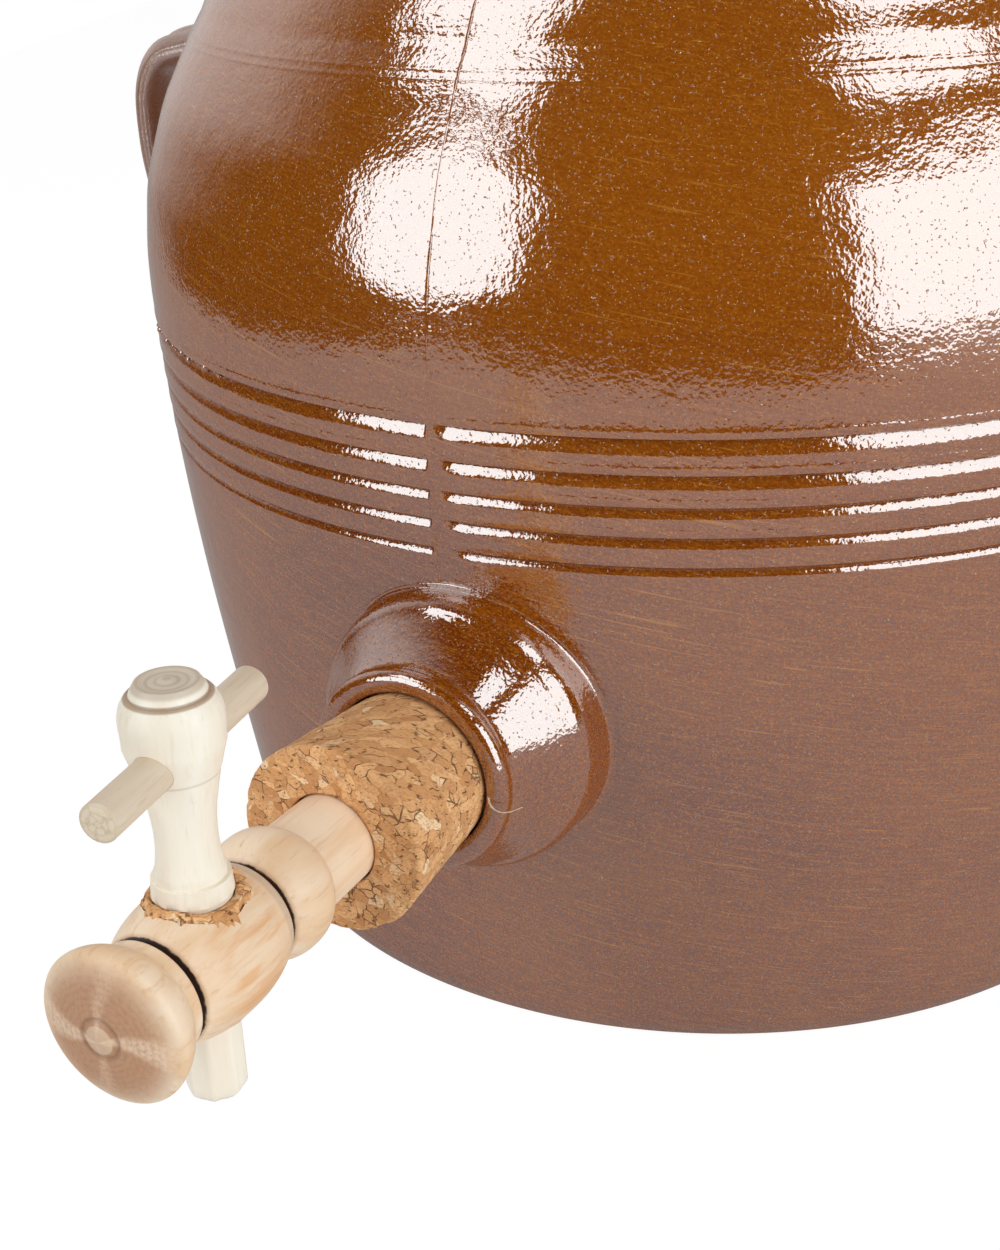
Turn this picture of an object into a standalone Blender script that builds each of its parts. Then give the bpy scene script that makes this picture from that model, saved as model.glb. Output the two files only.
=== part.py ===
"""Stoneware vinegar jar with a corked wooden tap.

Metres, +Z up. The origin is on the jar's axis at its foot, the tap points towards -Y, and the handles stand on -X
and +X. Distances along the tap are measured from the jar's axis, and heights on the key from the tap's axis.
"""

from math import cos, pi, radians, sin

import bmesh
import bpy
from mathutils import Vector

# Gaps and helpers shared by all pieces
CLEARANCE = 0.0003
CUT_OVERRUN = 0.004
WELD_DISTANCE = 0.000002

# Jar body
FOOT_RADIUS = 0.095
FOOT_EDGE = 0.0018
BELLY_RADIUS = 0.1095
BELLY_HEIGHT = 0.1235
LOWER_CURVE_share = 1.47
SHOULDER_RISE = 0.0485
SHOULDER_STEP = 0.0145
SHOULDER_CURVE_share = 2.25
DOME_RISE = 0.019
DOME_STEP = 0.023
DOME_BEND_share = 0.34
DOME_LIFT_share = 0.82
NECK_RISE = 0.022
NECK_FILLET = 0.0025
NECK_WALL = 0.0065
RIM_PROUD = 0.004
RIM_DEPTH = 0.0095
RIM_EDGE = 0.002
WALL = 0.008
FLOOR = 0.009
FLOOR_CORNER = 0.010

# Five turned grooves, whose top lip lies just under the belly
GROOVE_DROP = 0.0059
GROOVE_BAND = 0.021
GROOVE_DEPTH = 0.0009
GROOVE_LIP = 0.0003
GROOVE_FLANK = 0.0028
GROOVE_PLACE_shares = (0, 0.276, 0.524, 0.762, 1)
GROOVE_FLANK_shares = (1, 0.875, 0.73, 0.71, 0.61)

# Boss that holds the bung
TAP_HEIGHT = 0.0644
BOSS_LENGTH = 0.0202
BOSS_RADIUS = 0.0249
BOSS_ROOT_FLARE = 0.0026
BOSS_ROOT_LENGTH = 0.005
BOSS_SHOULDER = 0.0035
BOSS_CONE_LENGTH = 0.0085
BOSS_HOLLOW = 0.0004
BOSS_LIP_RADIUS = 0.0018
BOSS_MOUTH_ROUND = 0.0014

# Cork bung
BUNG_FRONT_RADIUS = 0.0155
BUNG_REAR_RADIUS = 0.0117
BUNG_LENGTH = 0.045
BUNG_STANDS_OUT = 0.0222
BUNG_EDGE = 0.0008

# Tap barrel, from the bung's face to the nub on its knob
TAIL_LENGTH = 0.055
TAIL_END_RADIUS = 0.0064
NECK_LENGTH = 0.011
TAP_NECK_RADIUS = 0.0076
BEAD_LENGTH = 0.0101
BEAD_RADIUS = 0.0098
BEAD_END_RADIUS = 0.0081
RING_WIDTH = 0.0013
RING_DEPTH = 0.001
BARREL_LENGTH = 0.0197
BARREL_RADIUS = 0.0104
BARREL_END_RADIUS = 0.0084
KNOB_NECK_LENGTH = 0.0024
KNOB_NECK_RADIUS = 0.009
KNOB_BACK_LENGTH = 0.0047
KNOB_RADIUS = 0.0113
KNOB_FRONT_LENGTH = 0.0031
NUB_RADIUS = 0.0022
NUB_HEIGHT = 0.0006
CHANNEL_RADIUS = 0.0025
KEY_PLACE_share = 0.5

# Key that turns in the barrel, its cork lining and its crossbar
LINING = 0.0011
KEY_SEAT_RADIUS = 0.0053
KEY_TAIL_RADIUS = 0.0042
KEY_TAIL_LENGTH = 0.0223
KEY_TAIL_CHAMFER = 0.0009
KEY_COLLAR_DROP = 0.0008
KEY_COLLAR_RADIUS = 0.0056
KEY_COLLAR_LENGTH = 0.003
KEY_WAIST_RADIUS = 0.0042
KEY_WAIST_LENGTH = 0.0062
KEY_SWELL_LENGTH = 0.0135
KEY_HEAD_RADIUS = 0.0068
KEY_CROWN_LENGTH = 0.0087
KEY_CROWN_RADIUS = 0.0058
KEY_TOP_RADIUS = 0.0046
KEY_TOP_LENGTH = 0.0021
SPOUT_RADIUS = 0.0019
PORT_RADIUS = 0.0016
CROSSBAR_RADIUS = 0.00275
CROSSBAR_LENGTH = 0.0404
CROSSBAR_OFFSET = 0.0011
CROSSBAR_CHAMFER = 0.0004
CROSSBAR_DROP = 0.0018
KEY_REST_ANGLE = radians(7.9)

# Handles, pressed clay straps with three ribs
HANDLE_WIDTH = 0.019
HANDLE_THICKNESS = 0.007
HANDLE_REACH = 0.0218
HANDLE_BELOW_CREASE = 0.007
HANDLE_HEIGHT = 0.056
HANDLE_RIB = 0.0009
HANDLE_ROOT_SINK = 0.0045
HANDLE_ROOT_FLARE_share = 0.16
HANDLE_PATH_shares = (
    (0, 0),
    (0.3, 0.036),
    (0.6, 0.101),
    (0.86, 0.15),
    (0.985, 0.281),
    (1, 0.4875),
    (0.97, 0.6375),
    (0.93, 0.775),
    (0.8, 0.89),
    (0.5, 0.965),
    (0.2, 1),
)

# Lid
LID_OVERHANG = 0.0015
LID_EDGE_THICKNESS = 0.0055
LID_EDGE_ROUND = 0.0018
LID_DOME = 0.0065
LID_HOLLOW = 0.004
LID_PLAY = 0.0015
FLANGE_DEPTH = 0.008
FLANGE_WALL = 0.0055
LID_KNOB_HEIGHT = 0.0145
LID_KNOB_RADIUS = 0.0145
LID_KNOB_WAIST = 0.0095

# How finely round forms are drawn
JAR_SIDES = 52
LID_SIDES = 40
BOSS_SIDES = 36
TURNED_SIDES = 32
KEY_SIDES = 24
BORE_SIDES = 16
HANDLE_SIDES = 20
HANDLE_STEP_COUNT = 2
SHARP_ANGLE = radians(32)

# Places worked out from the sizes above
CREASE_HEIGHT = BELLY_HEIGHT + SHOULDER_RISE
CREASE_RADIUS = BELLY_RADIUS - SHOULDER_STEP
NECK_HEIGHT = CREASE_HEIGHT + DOME_RISE
NECK_RADIUS = CREASE_RADIUS - DOME_STEP
RIM_HEIGHT = NECK_HEIGHT + NECK_RISE
RIM_RADIUS = NECK_RADIUS + RIM_PROUD
MOUTH_RADIUS = NECK_RADIUS - NECK_WALL


def body_radius(height):
    """Radius of the jar's outside between its foot and its crease, without the grooves."""
    if height < BELLY_HEIGHT:
        below = 1 - height / BELLY_HEIGHT
        return BELLY_RADIUS - (BELLY_RADIUS - FOOT_RADIUS) * below**LOWER_CURVE_share
    above = (height - BELLY_HEIGHT) / SHOULDER_RISE
    return BELLY_RADIUS - SHOULDER_STEP * above**SHOULDER_CURVE_share


BOSS_MOUTH = body_radius(TAP_HEIGHT) + BOSS_LENGTH
BUNG_FACE = BOSS_MOUTH + BUNG_STANDS_OUT
BUNG_REAR = BUNG_FACE - BUNG_LENGTH
BEAD_START = BUNG_FACE + NECK_LENGTH
BARREL_START = BEAD_START + BEAD_LENGTH + RING_WIDTH
BARREL_END = BARREL_START + BARREL_LENGTH
KEY_PLACE = BARREL_START + BARREL_LENGTH * KEY_PLACE_share
KNOB_START = BARREL_END + RING_WIDTH
KEY_COLLAR = BARREL_RADIUS - KEY_COLLAR_DROP
KEY_HEAD = KEY_COLLAR + KEY_COLLAR_LENGTH + KEY_WAIST_LENGTH + KEY_SWELL_LENGTH
CROSSBAR_HEIGHT = KEY_HEAD - CROSSBAR_DROP


def spread(start, end, steps):
    """Evenly spaced values from start to end, both included."""
    return [start + (end - start) * step / steps for step in range(steps + 1)]


def arc(centre, radii, start, end, steps):
    """Outline points (radius, height) on an ellipse round centre, between two angles in degrees."""
    angles = [radians(angle) for angle in spread(start, end, steps)]
    return [(centre[0] + radii[0] * cos(angle), centre[1] + radii[1] * sin(angle)) for angle in angles]


def bulge(start, end, peak, steps):
    """Outline points from start to end that swell to the radius peak between them."""
    rise = peak - (start[0] + end[0]) / 2
    points = []
    for share in spread(0, 1, steps):
        straight = start[0] + (end[0] - start[0]) * share
        along = start[1] + (end[1] - start[1]) * share
        points.append((straight + 4 * rise * share * (1 - share), along))
    return points


def smooth_path(points, steps):
    """Points on a smooth curve through the given points, with this many steps between each two."""
    ends = [points[0] * 2 - points[1], *points, points[-1] * 2 - points[-2]]
    path = []
    for before, start, end, after in zip(ends, ends[1:], ends[2:], ends[3:]):
        for share in spread(0, 1, steps)[:-1]:
            pull_in = (end - before) * share
            bend = (before * 2 - start * 5 + end * 4 - after) * share**2
            turn = (start * 3 - before - end * 3 + after) * share**3
            path.append(start + (pull_in + bend + turn) / 2)
    return [*path, points[-1]]


def material(name, colour, roughness):
    """A plain surface for one kind of piece."""
    surface = bpy.data.materials.new(name)
    surface.use_nodes = True
    shader = surface.node_tree.nodes["Principled BSDF"]
    shader.inputs["Base Color"].default_value = (*colour, 1)
    shader.inputs["Roughness"].default_value = roughness
    shader.inputs["Metallic"].default_value = 0
    return surface


def add_object(name, shape, surface=None, parent=None):
    """The bmesh as an object of the scene, smooth except at its sharp edges. Without a surface it is a cutter."""
    bmesh.ops.recalc_face_normals(shape, faces=shape.faces)
    mesh = bpy.data.meshes.new(name)
    shape.to_mesh(mesh)
    shape.free()
    mesh.shade_smooth()
    mesh.set_sharp_from_angle(angle=SHARP_ANGLE)
    made = bpy.data.objects.new(name, mesh)
    bpy.context.collection.objects.link(made)
    made.parent = parent
    if surface:
        mesh.materials.append(surface)
    else:
        made.hide_render = True
        made.display_type = "WIRE"
    return made


def turned(name, outline, sides, surface=None, parent=None, closed=False, between=False):
    """A solid turned about local Z from (radius, height) points. A closed outline makes a ring.

    With between set, its facets' edges lie between those of a piece with as many sides that isn't turned so.
    """
    turn = pi / sides if between else 0
    shape = bmesh.new()
    points = [shape.verts.new((radius * cos(turn), radius * sin(turn), height)) for radius, height in outline]
    edges = [shape.edges.new(pair) for pair in zip(points, points[1:])]
    if closed:
        edges.append(shape.edges.new((points[-1], points[0])))
    bmesh.ops.spin(
        shape, geom=points + edges, cent=(0, 0, 0), axis=(0, 0, 1), angle=2 * pi, steps=sides, use_merge=True
    )
    bmesh.ops.remove_doubles(shape, verts=shape.verts, dist=WELD_DISTANCE)
    return add_object(name, shape, surface, parent)


def rod(name, radius, start, end, sides, chamfer=0, surface=None, parent=None):
    """A round rod along local Z, with chamfered ends if a chamfer is given."""
    outline = [(0, start), (radius - chamfer, start), (radius, start + chamfer)]
    outline += [(radius, end - chamfer), (radius - chamfer, end), (0, end)]
    if not chamfer:
        outline = [(0, start), (radius, start), (radius, end), (0, end)]
    return turned(name, outline, sides, surface, parent, between=not surface)


def combine(target, other, operation):
    """Adds or takes away another solid."""
    modifier = target.modifiers.new(other.name, "BOOLEAN")
    modifier.object = other
    modifier.operation = operation


def along_tap(made):
    """Lays a piece turned about Z along the tap, so that its height is the distance from the jar's axis."""
    made.rotation_euler = (pi / 2, 0, 0)
    return made


def add_empty(name, location, parent=None):
    """A frame that pieces hang on."""
    made = bpy.data.objects.new(name, None)
    bpy.context.collection.objects.link(made)
    made.location = location
    made.parent = parent
    return made


# Jar


def groove_outline():
    """The five grooves from the lowest up. Under each sharp lip the flank slopes out again and faces up."""
    points = []
    top = BELLY_HEIGHT - GROOVE_DROP
    for place, flank in reversed(list(zip(GROOVE_PLACE_shares, GROOVE_FLANK_shares))):
        lip = top - GROOVE_BAND * place
        bottom = lip - GROOVE_FLANK * flank
        points.append((body_radius(bottom), bottom))
        points.append((body_radius(lip) - GROOVE_DEPTH, lip - GROOVE_LIP))
        points.append((body_radius(lip), lip))
    return points


def dome_outline(start, end, steps):
    """Points of the dome's curve from its start at the crease to its end at the neck."""
    bend = (start[0] + (end[0] - start[0]) * DOME_BEND_share, start[1] + (end[1] - start[1]) * DOME_LIFT_share)
    points = []
    for share in spread(0, 1, steps):
        weights = ((1 - share) ** 2, 2 * share * (1 - share), share**2)
        radius, height = (sum(w * p[axis] for w, p in zip(weights, (start, bend, end))) for axis in (0, 1))
        points.append((radius, height))
    return points


def jar_outline(grooved):
    """The outside from the middle of the foot to the middle of the rim's plane."""
    grooves = groove_outline()
    points = [(0, 0)]
    points += arc((FOOT_RADIUS - FOOT_EDGE, FOOT_EDGE), (FOOT_EDGE, FOOT_EDGE), -90, 0, 2)
    points += [(body_radius(height), height) for height in spread(FOOT_EDGE, grooves[0][1], 5)[1:-1]]
    points += grooves if grooved else [grooves[0], grooves[-1]]
    points += [(body_radius(height), height) for height in spread(grooves[-1][1], CREASE_HEIGHT, 6)[1:]]
    dome = dome_outline((CREASE_RADIUS, CREASE_HEIGHT), (NECK_RADIUS + NECK_FILLET, NECK_HEIGHT), 6)
    fillet_centre = (NECK_RADIUS + NECK_FILLET, NECK_HEIGHT + NECK_FILLET)
    fillet = arc(fillet_centre, (NECK_FILLET, NECK_FILLET), -90, -180, 2)
    flare_start = (NECK_RADIUS, RIM_HEIGHT - RIM_DEPTH)
    flare = [flare_start, (NECK_RADIUS + RIM_PROUD / 3, RIM_HEIGHT - RIM_DEPTH * 3 / 4)]
    edge = arc((RIM_RADIUS - RIM_EDGE, RIM_HEIGHT - RIM_EDGE), (RIM_EDGE, RIM_EDGE), -30, 90, 4)
    return points + dome[1:] + fillet[1:] + flare + edge + [(0, RIM_HEIGHT)]


def cavity_outline():
    """The inside, from its floor out through the mouth, whose edge is rounded."""
    corner_top = FLOOR + FLOOR_CORNER
    side = body_radius(corner_top) - WALL
    points = [(0, FLOOR)]
    points += arc((side - FLOOR_CORNER, corner_top), (FLOOR_CORNER, FLOOR_CORNER), -90, 0, 3)
    points += [(body_radius(height) - WALL, height) for height in spread(corner_top, CREASE_HEIGHT, 5)[1:]]
    points += dome_outline((CREASE_RADIUS - WALL, CREASE_HEIGHT), (MOUTH_RADIUS, NECK_HEIGHT - WALL), 4)[1:]
    edge_centre = (MOUTH_RADIUS + RIM_EDGE, RIM_HEIGHT - RIM_EDGE)
    points += arc(edge_centre, (RIM_EDGE, RIM_EDGE), 180, 90, 3)
    top = RIM_HEIGHT + CUT_OVERRUN
    return points + [(MOUTH_RADIUS + RIM_EDGE, top), (0, top)]


def bung_radius(distance):
    """Radius of the tapered bung at a distance from the jar's axis."""
    return BUNG_REAR_RADIUS + (BUNG_FRONT_RADIUS - BUNG_REAR_RADIUS) * (distance - BUNG_REAR) / BUNG_LENGTH


def boss_outline():
    """The boss from inside the jar to its rounded lip."""
    wall = body_radius(TAP_HEIGHT)
    start = wall - WALL * 2
    lip_centre = (bung_radius(BOSS_MOUTH) + CLEARANCE + BOSS_LIP_RADIUS, BOSS_MOUTH - BOSS_LIP_RADIUS)
    hollow = (lip_centre[0] + BOSS_LIP_RADIUS - BOSS_HOLLOW, lip_centre[1] - BOSS_LIP_RADIUS)
    cone_end = hollow[1] - BOSS_CONE_LENGTH
    root_end = wall - BOSS_ROOT_LENGTH
    points = [(0, start), (BOSS_RADIUS + BOSS_ROOT_FLARE, start), (BOSS_RADIUS + BOSS_ROOT_FLARE, root_end)]
    points += [(BOSS_RADIUS + BOSS_ROOT_FLARE / 3, wall - BOSS_ROOT_LENGTH / 3)]
    points += arc((BOSS_RADIUS - BOSS_SHOULDER, cone_end - BOSS_SHOULDER), (BOSS_SHOULDER, BOSS_SHOULDER), 0, 55, 3)
    points += [hollow]
    points += arc(lip_centre, (BOSS_LIP_RADIUS, BOSS_LIP_RADIUS), -10, 90, 4)
    return points + [(0, BOSS_MOUTH)]


def boss_bore_outline():
    """The bore that the bung fills, rounded at the mouth."""
    start = body_radius(TAP_HEIGHT) - WALL * 3
    end = BOSS_MOUTH - BOSS_MOUTH_ROUND
    radius = bung_radius(end) + CLEARANCE
    points = [(0, start), (bung_radius(start) + CLEARANCE, start)]
    points += arc((radius + BOSS_MOUTH_ROUND, end), (BOSS_MOUTH_ROUND, BOSS_MOUTH_ROUND), 180, 90, 3)
    out = BOSS_MOUTH + CUT_OVERRUN
    return points + [(radius + BOSS_MOUTH_ROUND, out), (0, out)]


def make_jar(glaze):
    """The thrown jar with its boss, hollowed and bored."""
    jar = turned("jar_body", jar_outline(grooved=True), JAR_SIDES, glaze)
    boss = along_tap(turned("boss_stock", boss_outline(), BOSS_SIDES, between=True))
    bore = along_tap(turned("boss_bore", boss_bore_outline(), BOSS_SIDES, between=True))
    boss.location.z = TAP_HEIGHT
    bore.location.z = TAP_HEIGHT
    combine(jar, boss, "UNION")
    combine(jar, turned("cavity", cavity_outline(), JAR_SIDES), "DIFFERENCE")
    combine(jar, bore, "DIFFERENCE")


# Handles


def handle_section(share):
    """Offsets (outward, sideways) of the strap's section, ribbed on the outside and flared towards its roots."""
    flare = 1 + HANDLE_ROOT_FLARE_share * (2 * share - 1) ** 4
    half_width = HANDLE_WIDTH / 2 * flare
    half_thickness = HANDLE_THICKNESS / 2
    offsets = []
    for step in range(HANDLE_SIDES):
        angle = 2 * pi * step / HANDLE_SIDES
        across = cos(angle)
        out = half_thickness * sin(angle)
        if sin(angle) > 0:
            out += HANDLE_RIB * cos(3 * pi * across) * sin(angle)
        offsets.append((out, half_width * across))
    return offsets


def handle_shape():
    """The strap swept along its path in the plane of local X and Z."""
    top = CREASE_HEIGHT - HANDLE_BELOW_CREASE
    start = body_radius(top) - HANDLE_ROOT_SINK
    reach = BELLY_RADIUS + HANDLE_REACH - start
    corners = [Vector((start + reach * out, 0, top - HANDLE_HEIGHT * down)) for out, down in HANDLE_PATH_shares]
    path = smooth_path(corners, HANDLE_STEP_COUNT)
    shape = bmesh.new()
    rings = []
    for index, centre in enumerate(path):
        ahead = path[min(index + 1, len(path) - 1)] - path[max(index - 1, 0)]
        outward = Vector((-ahead.z, 0, ahead.x)).normalized()
        offsets = handle_section(index / (len(path) - 1))
        sideways = Vector((0, 1, 0))
        rings.append([shape.verts.new(centre + outward * out + sideways * side) for out, side in offsets])
    for ring, following in zip(rings, rings[1:]):
        for corner in range(HANDLE_SIDES):
            beside = (corner + 1) % HANDLE_SIDES
            shape.faces.new((ring[corner], ring[beside], following[beside], following[corner]))
    shape.faces.new(rings[0])
    shape.faces.new(rings[-1])
    return shape


def make_handles(glaze):
    """Two like handles on opposite sides, each cut to the jar's curve."""
    outline = [(radius + CLEARANCE if radius else 0, height) for radius, height in jar_outline(grooved=False)]
    seat = turned("handle_seat", outline, JAR_SIDES)
    right = add_object("right_handle", handle_shape(), glaze)
    left = add_object("left_handle", handle_shape(), glaze)
    left.rotation_euler.z = pi
    for handle in (right, left):
        combine(handle, seat, "DIFFERENCE")


# Tap


def tail_radius(distance):
    """Radius of the barrel's tapered tail and neck."""
    share = (distance - BUNG_FACE + TAIL_LENGTH) / (TAIL_LENGTH + NECK_LENGTH)
    return TAIL_END_RADIUS + (TAP_NECK_RADIUS - TAIL_END_RADIUS) * min(share, 1)


def barrel_outline():
    """The turned barrel from its tail in the jar to the nub on its knob."""
    tail_end = BUNG_FACE - TAIL_LENGTH
    bead_end = BEAD_START + BEAD_LENGTH
    knob_back = KNOB_START + KNOB_NECK_LENGTH
    knob_edge = knob_back + KNOB_BACK_LENGTH
    knob_face = knob_edge + KNOB_FRONT_LENGTH
    points = [(0, tail_end), (TAIL_END_RADIUS, tail_end)]
    points += [(tail_radius(BUNG_REAR), BUNG_REAR), (tail_radius(BUNG_FACE), BUNG_FACE)]
    points += bulge((TAP_NECK_RADIUS, BEAD_START), (BEAD_END_RADIUS, bead_end), BEAD_RADIUS, 5)
    points += [(BEAD_END_RADIUS - RING_DEPTH, bead_end + RING_WIDTH / 2)]
    points += bulge((BARREL_END_RADIUS, BARREL_START), (BARREL_END_RADIUS, BARREL_END), BARREL_RADIUS, 7)
    points += [(BARREL_END_RADIUS - RING_DEPTH, BARREL_END + RING_WIDTH / 2)]
    points += [(BARREL_END_RADIUS, KNOB_START), (KNOB_NECK_RADIUS, knob_back)]
    points += bulge((KNOB_NECK_RADIUS, knob_back), (KNOB_RADIUS, knob_edge), (KNOB_NECK_RADIUS + KNOB_RADIUS) / 2, 2)[1:]
    points += arc((0, knob_edge), (KNOB_RADIUS, KNOB_FRONT_LENGTH), 0, 75, 5)[1:]
    return points + [(NUB_RADIUS, knob_face), (NUB_RADIUS / 2, knob_face + NUB_HEIGHT), (0, knob_face + NUB_HEIGHT)]


def bung_outline():
    """The bung as a ring round the barrel's tail, with its edges slightly rounded."""
    front = bung_radius(BUNG_FACE)
    rear = bung_radius(BUNG_REAR)
    inner_front = tail_radius(BUNG_FACE) + CLEARANCE
    inner_rear = tail_radius(BUNG_REAR) + CLEARANCE
    points = [(inner_rear, BUNG_REAR), (rear - BUNG_EDGE, BUNG_REAR), (rear, BUNG_REAR + BUNG_EDGE)]
    points += [(bung_radius(BUNG_FACE - BUNG_EDGE), BUNG_FACE - BUNG_EDGE)]
    return points + [(front - BUNG_EDGE, BUNG_FACE), (inner_front, BUNG_FACE)]


def key_radius(height):
    """Radius of the key where it tapers through the barrel."""
    share = (height + BARREL_RADIUS) / (BARREL_RADIUS + KEY_COLLAR)
    return KEY_TAIL_RADIUS + (KEY_SEAT_RADIUS - KEY_TAIL_RADIUS) * share


def make_tap(wood, cork):
    """Bung, barrel and lining, which pull out of the boss together. It returns the frame that they hang on."""
    frame = add_empty("tap_frame", (0, 0, TAP_HEIGHT))
    along_tap(turned("bung", bung_outline(), TURNED_SIDES, cork, frame, closed=True))
    barrel = along_tap(turned("tap_barrel", barrel_outline(), TURNED_SIDES, wood, frame))
    inlet = BUNG_FACE - TAIL_LENGTH - CUT_OVERRUN
    channel = along_tap(rod("channel", CHANNEL_RADIUS, inlet, KEY_PLACE, BORE_SIDES, parent=frame))
    bottom = -BARREL_RADIUS - CUT_OVERRUN
    top = BARREL_RADIUS + CUT_OVERRUN
    around = LINING + CLEARANCE * 2
    bore_outline = [(0, bottom), (key_radius(bottom) + around, bottom), (key_radius(top) + around, top), (0, top)]
    bore = turned("key_bore", bore_outline, KEY_SIDES, parent=frame, between=True)
    bore.location.y = -KEY_PLACE
    combine(barrel, channel, "DIFFERENCE")
    combine(barrel, bore, "DIFFERENCE")
    lining_bottom = LINING - BARREL_RADIUS
    lining_top = KEY_COLLAR - CLEARANCE
    ring = []
    for height, side in ((lining_bottom, 0), (lining_bottom, 1), (lining_top, 1), (lining_top, 0)):
        ring.append((key_radius(height) + CLEARANCE + LINING * side, height))
    lining = turned("key_lining", ring, KEY_SIDES, cork, frame, closed=True, between=True)
    lining.location.y = -KEY_PLACE
    combine(lining, channel, "DIFFERENCE")
    return frame


def key_outline():
    """The key from the end of its spout to its crown."""
    collar_top = KEY_COLLAR + KEY_COLLAR_LENGTH
    waist = collar_top + KEY_WAIST_LENGTH
    crown = KEY_HEAD + KEY_CROWN_LENGTH
    swell_middle = (KEY_WAIST_RADIUS + KEY_HEAD_RADIUS) / 2
    points = [(0, -KEY_TAIL_LENGTH), (KEY_TAIL_RADIUS - KEY_TAIL_CHAMFER, -KEY_TAIL_LENGTH)]
    points += [(KEY_TAIL_RADIUS, KEY_TAIL_CHAMFER - KEY_TAIL_LENGTH), (KEY_TAIL_RADIUS, -BARREL_RADIUS)]
    points += [(KEY_SEAT_RADIUS, KEY_COLLAR), (KEY_COLLAR_RADIUS, KEY_COLLAR), (KEY_COLLAR_RADIUS, collar_top)]
    points += arc((KEY_COLLAR_RADIUS, waist), (KEY_COLLAR_RADIUS - KEY_WAIST_RADIUS, KEY_WAIST_LENGTH), 235, 180, 3)
    points += [(swell_middle, waist + KEY_SWELL_LENGTH / 2)]
    points += bulge((KEY_HEAD_RADIUS, KEY_HEAD), (KEY_CROWN_RADIUS, crown - KEY_TOP_LENGTH), KEY_HEAD_RADIUS, 3)
    points += [(KEY_TOP_RADIUS, crown - KEY_TOP_LENGTH), (KEY_TOP_RADIUS, crown - KEY_TAIL_CHAMFER)]
    return points + [(KEY_TOP_RADIUS - KEY_TAIL_CHAMFER, crown), (0, crown)]


def make_key(wood, tap_frame):
    """The key with its spout and side port, and the dowel through its head."""
    frame = add_empty("key_frame", (0, -KEY_PLACE, 0), tap_frame)
    frame.rotation_euler.z = KEY_REST_ANGLE
    key = turned("tap_key", key_outline(), KEY_SIDES, wood, frame)
    spout_outline = [(0, -KEY_TAIL_LENGTH - CUT_OVERRUN), (SPOUT_RADIUS, -KEY_TAIL_LENGTH - CUT_OVERRUN)]
    spout_outline += [(SPOUT_RADIUS, PORT_RADIUS), (0, PORT_RADIUS + SPOUT_RADIUS)]
    spout = turned("spout_bore", spout_outline, BORE_SIDES, parent=frame)
    port = along_tap(rod("port_bore", PORT_RADIUS, -KEY_SEAT_RADIUS - CUT_OVERRUN, 0, BORE_SIDES, parent=frame))
    front = CROSSBAR_LENGTH / 2 - CROSSBAR_OFFSET
    rear = front - CROSSBAR_LENGTH
    hole_radius = CROSSBAR_RADIUS + CLEARANCE
    hole = along_tap(rod("crossbar_hole", hole_radius, rear, front, KEY_SIDES, parent=frame))
    bar = rod("key_crossbar", CROSSBAR_RADIUS, rear, front, KEY_SIDES, CROSSBAR_CHAMFER, wood, frame)
    along_tap(bar)
    hole.location.z = CROSSBAR_HEIGHT
    bar.location.z = CROSSBAR_HEIGHT
    for cutter in (spout, port, hole):
        combine(key, cutter, "DIFFERENCE")


# Lid


def lid_outline():
    """The lid from under its middle, round the flange and the edge, to the top of its knob."""
    flange = MOUTH_RADIUS - LID_PLAY
    inner = flange - FLANGE_WALL
    edge = RIM_RADIUS + LID_OVERHANG
    top = LID_EDGE_THICKNESS + LID_DOME
    knob_top = top + LID_KNOB_HEIGHT
    knob_middle = knob_top - LID_KNOB_HEIGHT * 2 / 5
    points = arc((0, 0), (inner, LID_HOLLOW), 90, 0, 3)
    points += [(inner, -FLANGE_DEPTH), (flange - LID_PLAY, -FLANGE_DEPTH), (flange, LID_PLAY - FLANGE_DEPTH)]
    points += [(flange, 0), (edge - LID_EDGE_ROUND, 0), (edge, LID_EDGE_ROUND)]
    points += arc((edge - LID_EDGE_ROUND, LID_EDGE_THICKNESS - LID_EDGE_ROUND), (LID_EDGE_ROUND, LID_EDGE_ROUND), 0, 60, 2)
    points += arc((0, LID_EDGE_THICKNESS), (edge - LID_EDGE_ROUND, LID_DOME), 15, 75, 5)
    points += [(LID_KNOB_WAIST + LID_EDGE_ROUND, top), (LID_KNOB_WAIST, top + LID_EDGE_ROUND)]
    points += arc((0, knob_middle), (LID_KNOB_RADIUS, knob_top - knob_middle), -35, 90, 6)
    return points


def make_lid(glaze):
    """The lid, whose origin is on the jar's axis where it rests on the rim."""
    lid = turned("lid", lid_outline(), LID_SIDES, glaze)
    lid.location.z = RIM_HEIGHT + CLEARANCE


def main():
    for found in list(bpy.data.objects):
        bpy.data.objects.remove(found)
    glaze = material("brown_glaze", (0.2, 0.075, 0.018), 0.15)
    barrel_wood = material("barrel_wood", (0.72, 0.47, 0.28), 0.5)
    key_wood = material("key_wood", (0.8, 0.64, 0.45), 0.55)
    cork = material("cork", (0.55, 0.31, 0.13), 0.85)
    make_jar(glaze)
    make_handles(glaze)
    make_lid(glaze)
    make_key(key_wood, make_tap(barrel_wood, cork))


main()
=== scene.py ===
"""Looks of the stoneware vinegar jar: its glaze, cork and turned wood, in a plain bright studio.

Metres, +Z up. The tap points towards -Y. A distance along the tap is measured from the jar's axis, and an
azimuth from the tap towards +X.
"""

from functools import partialmethod
from math import cos, exp, pi, radians, sin, sqrt

import bmesh
import bpy
from mathutils import Matrix, Vector, noise


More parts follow.
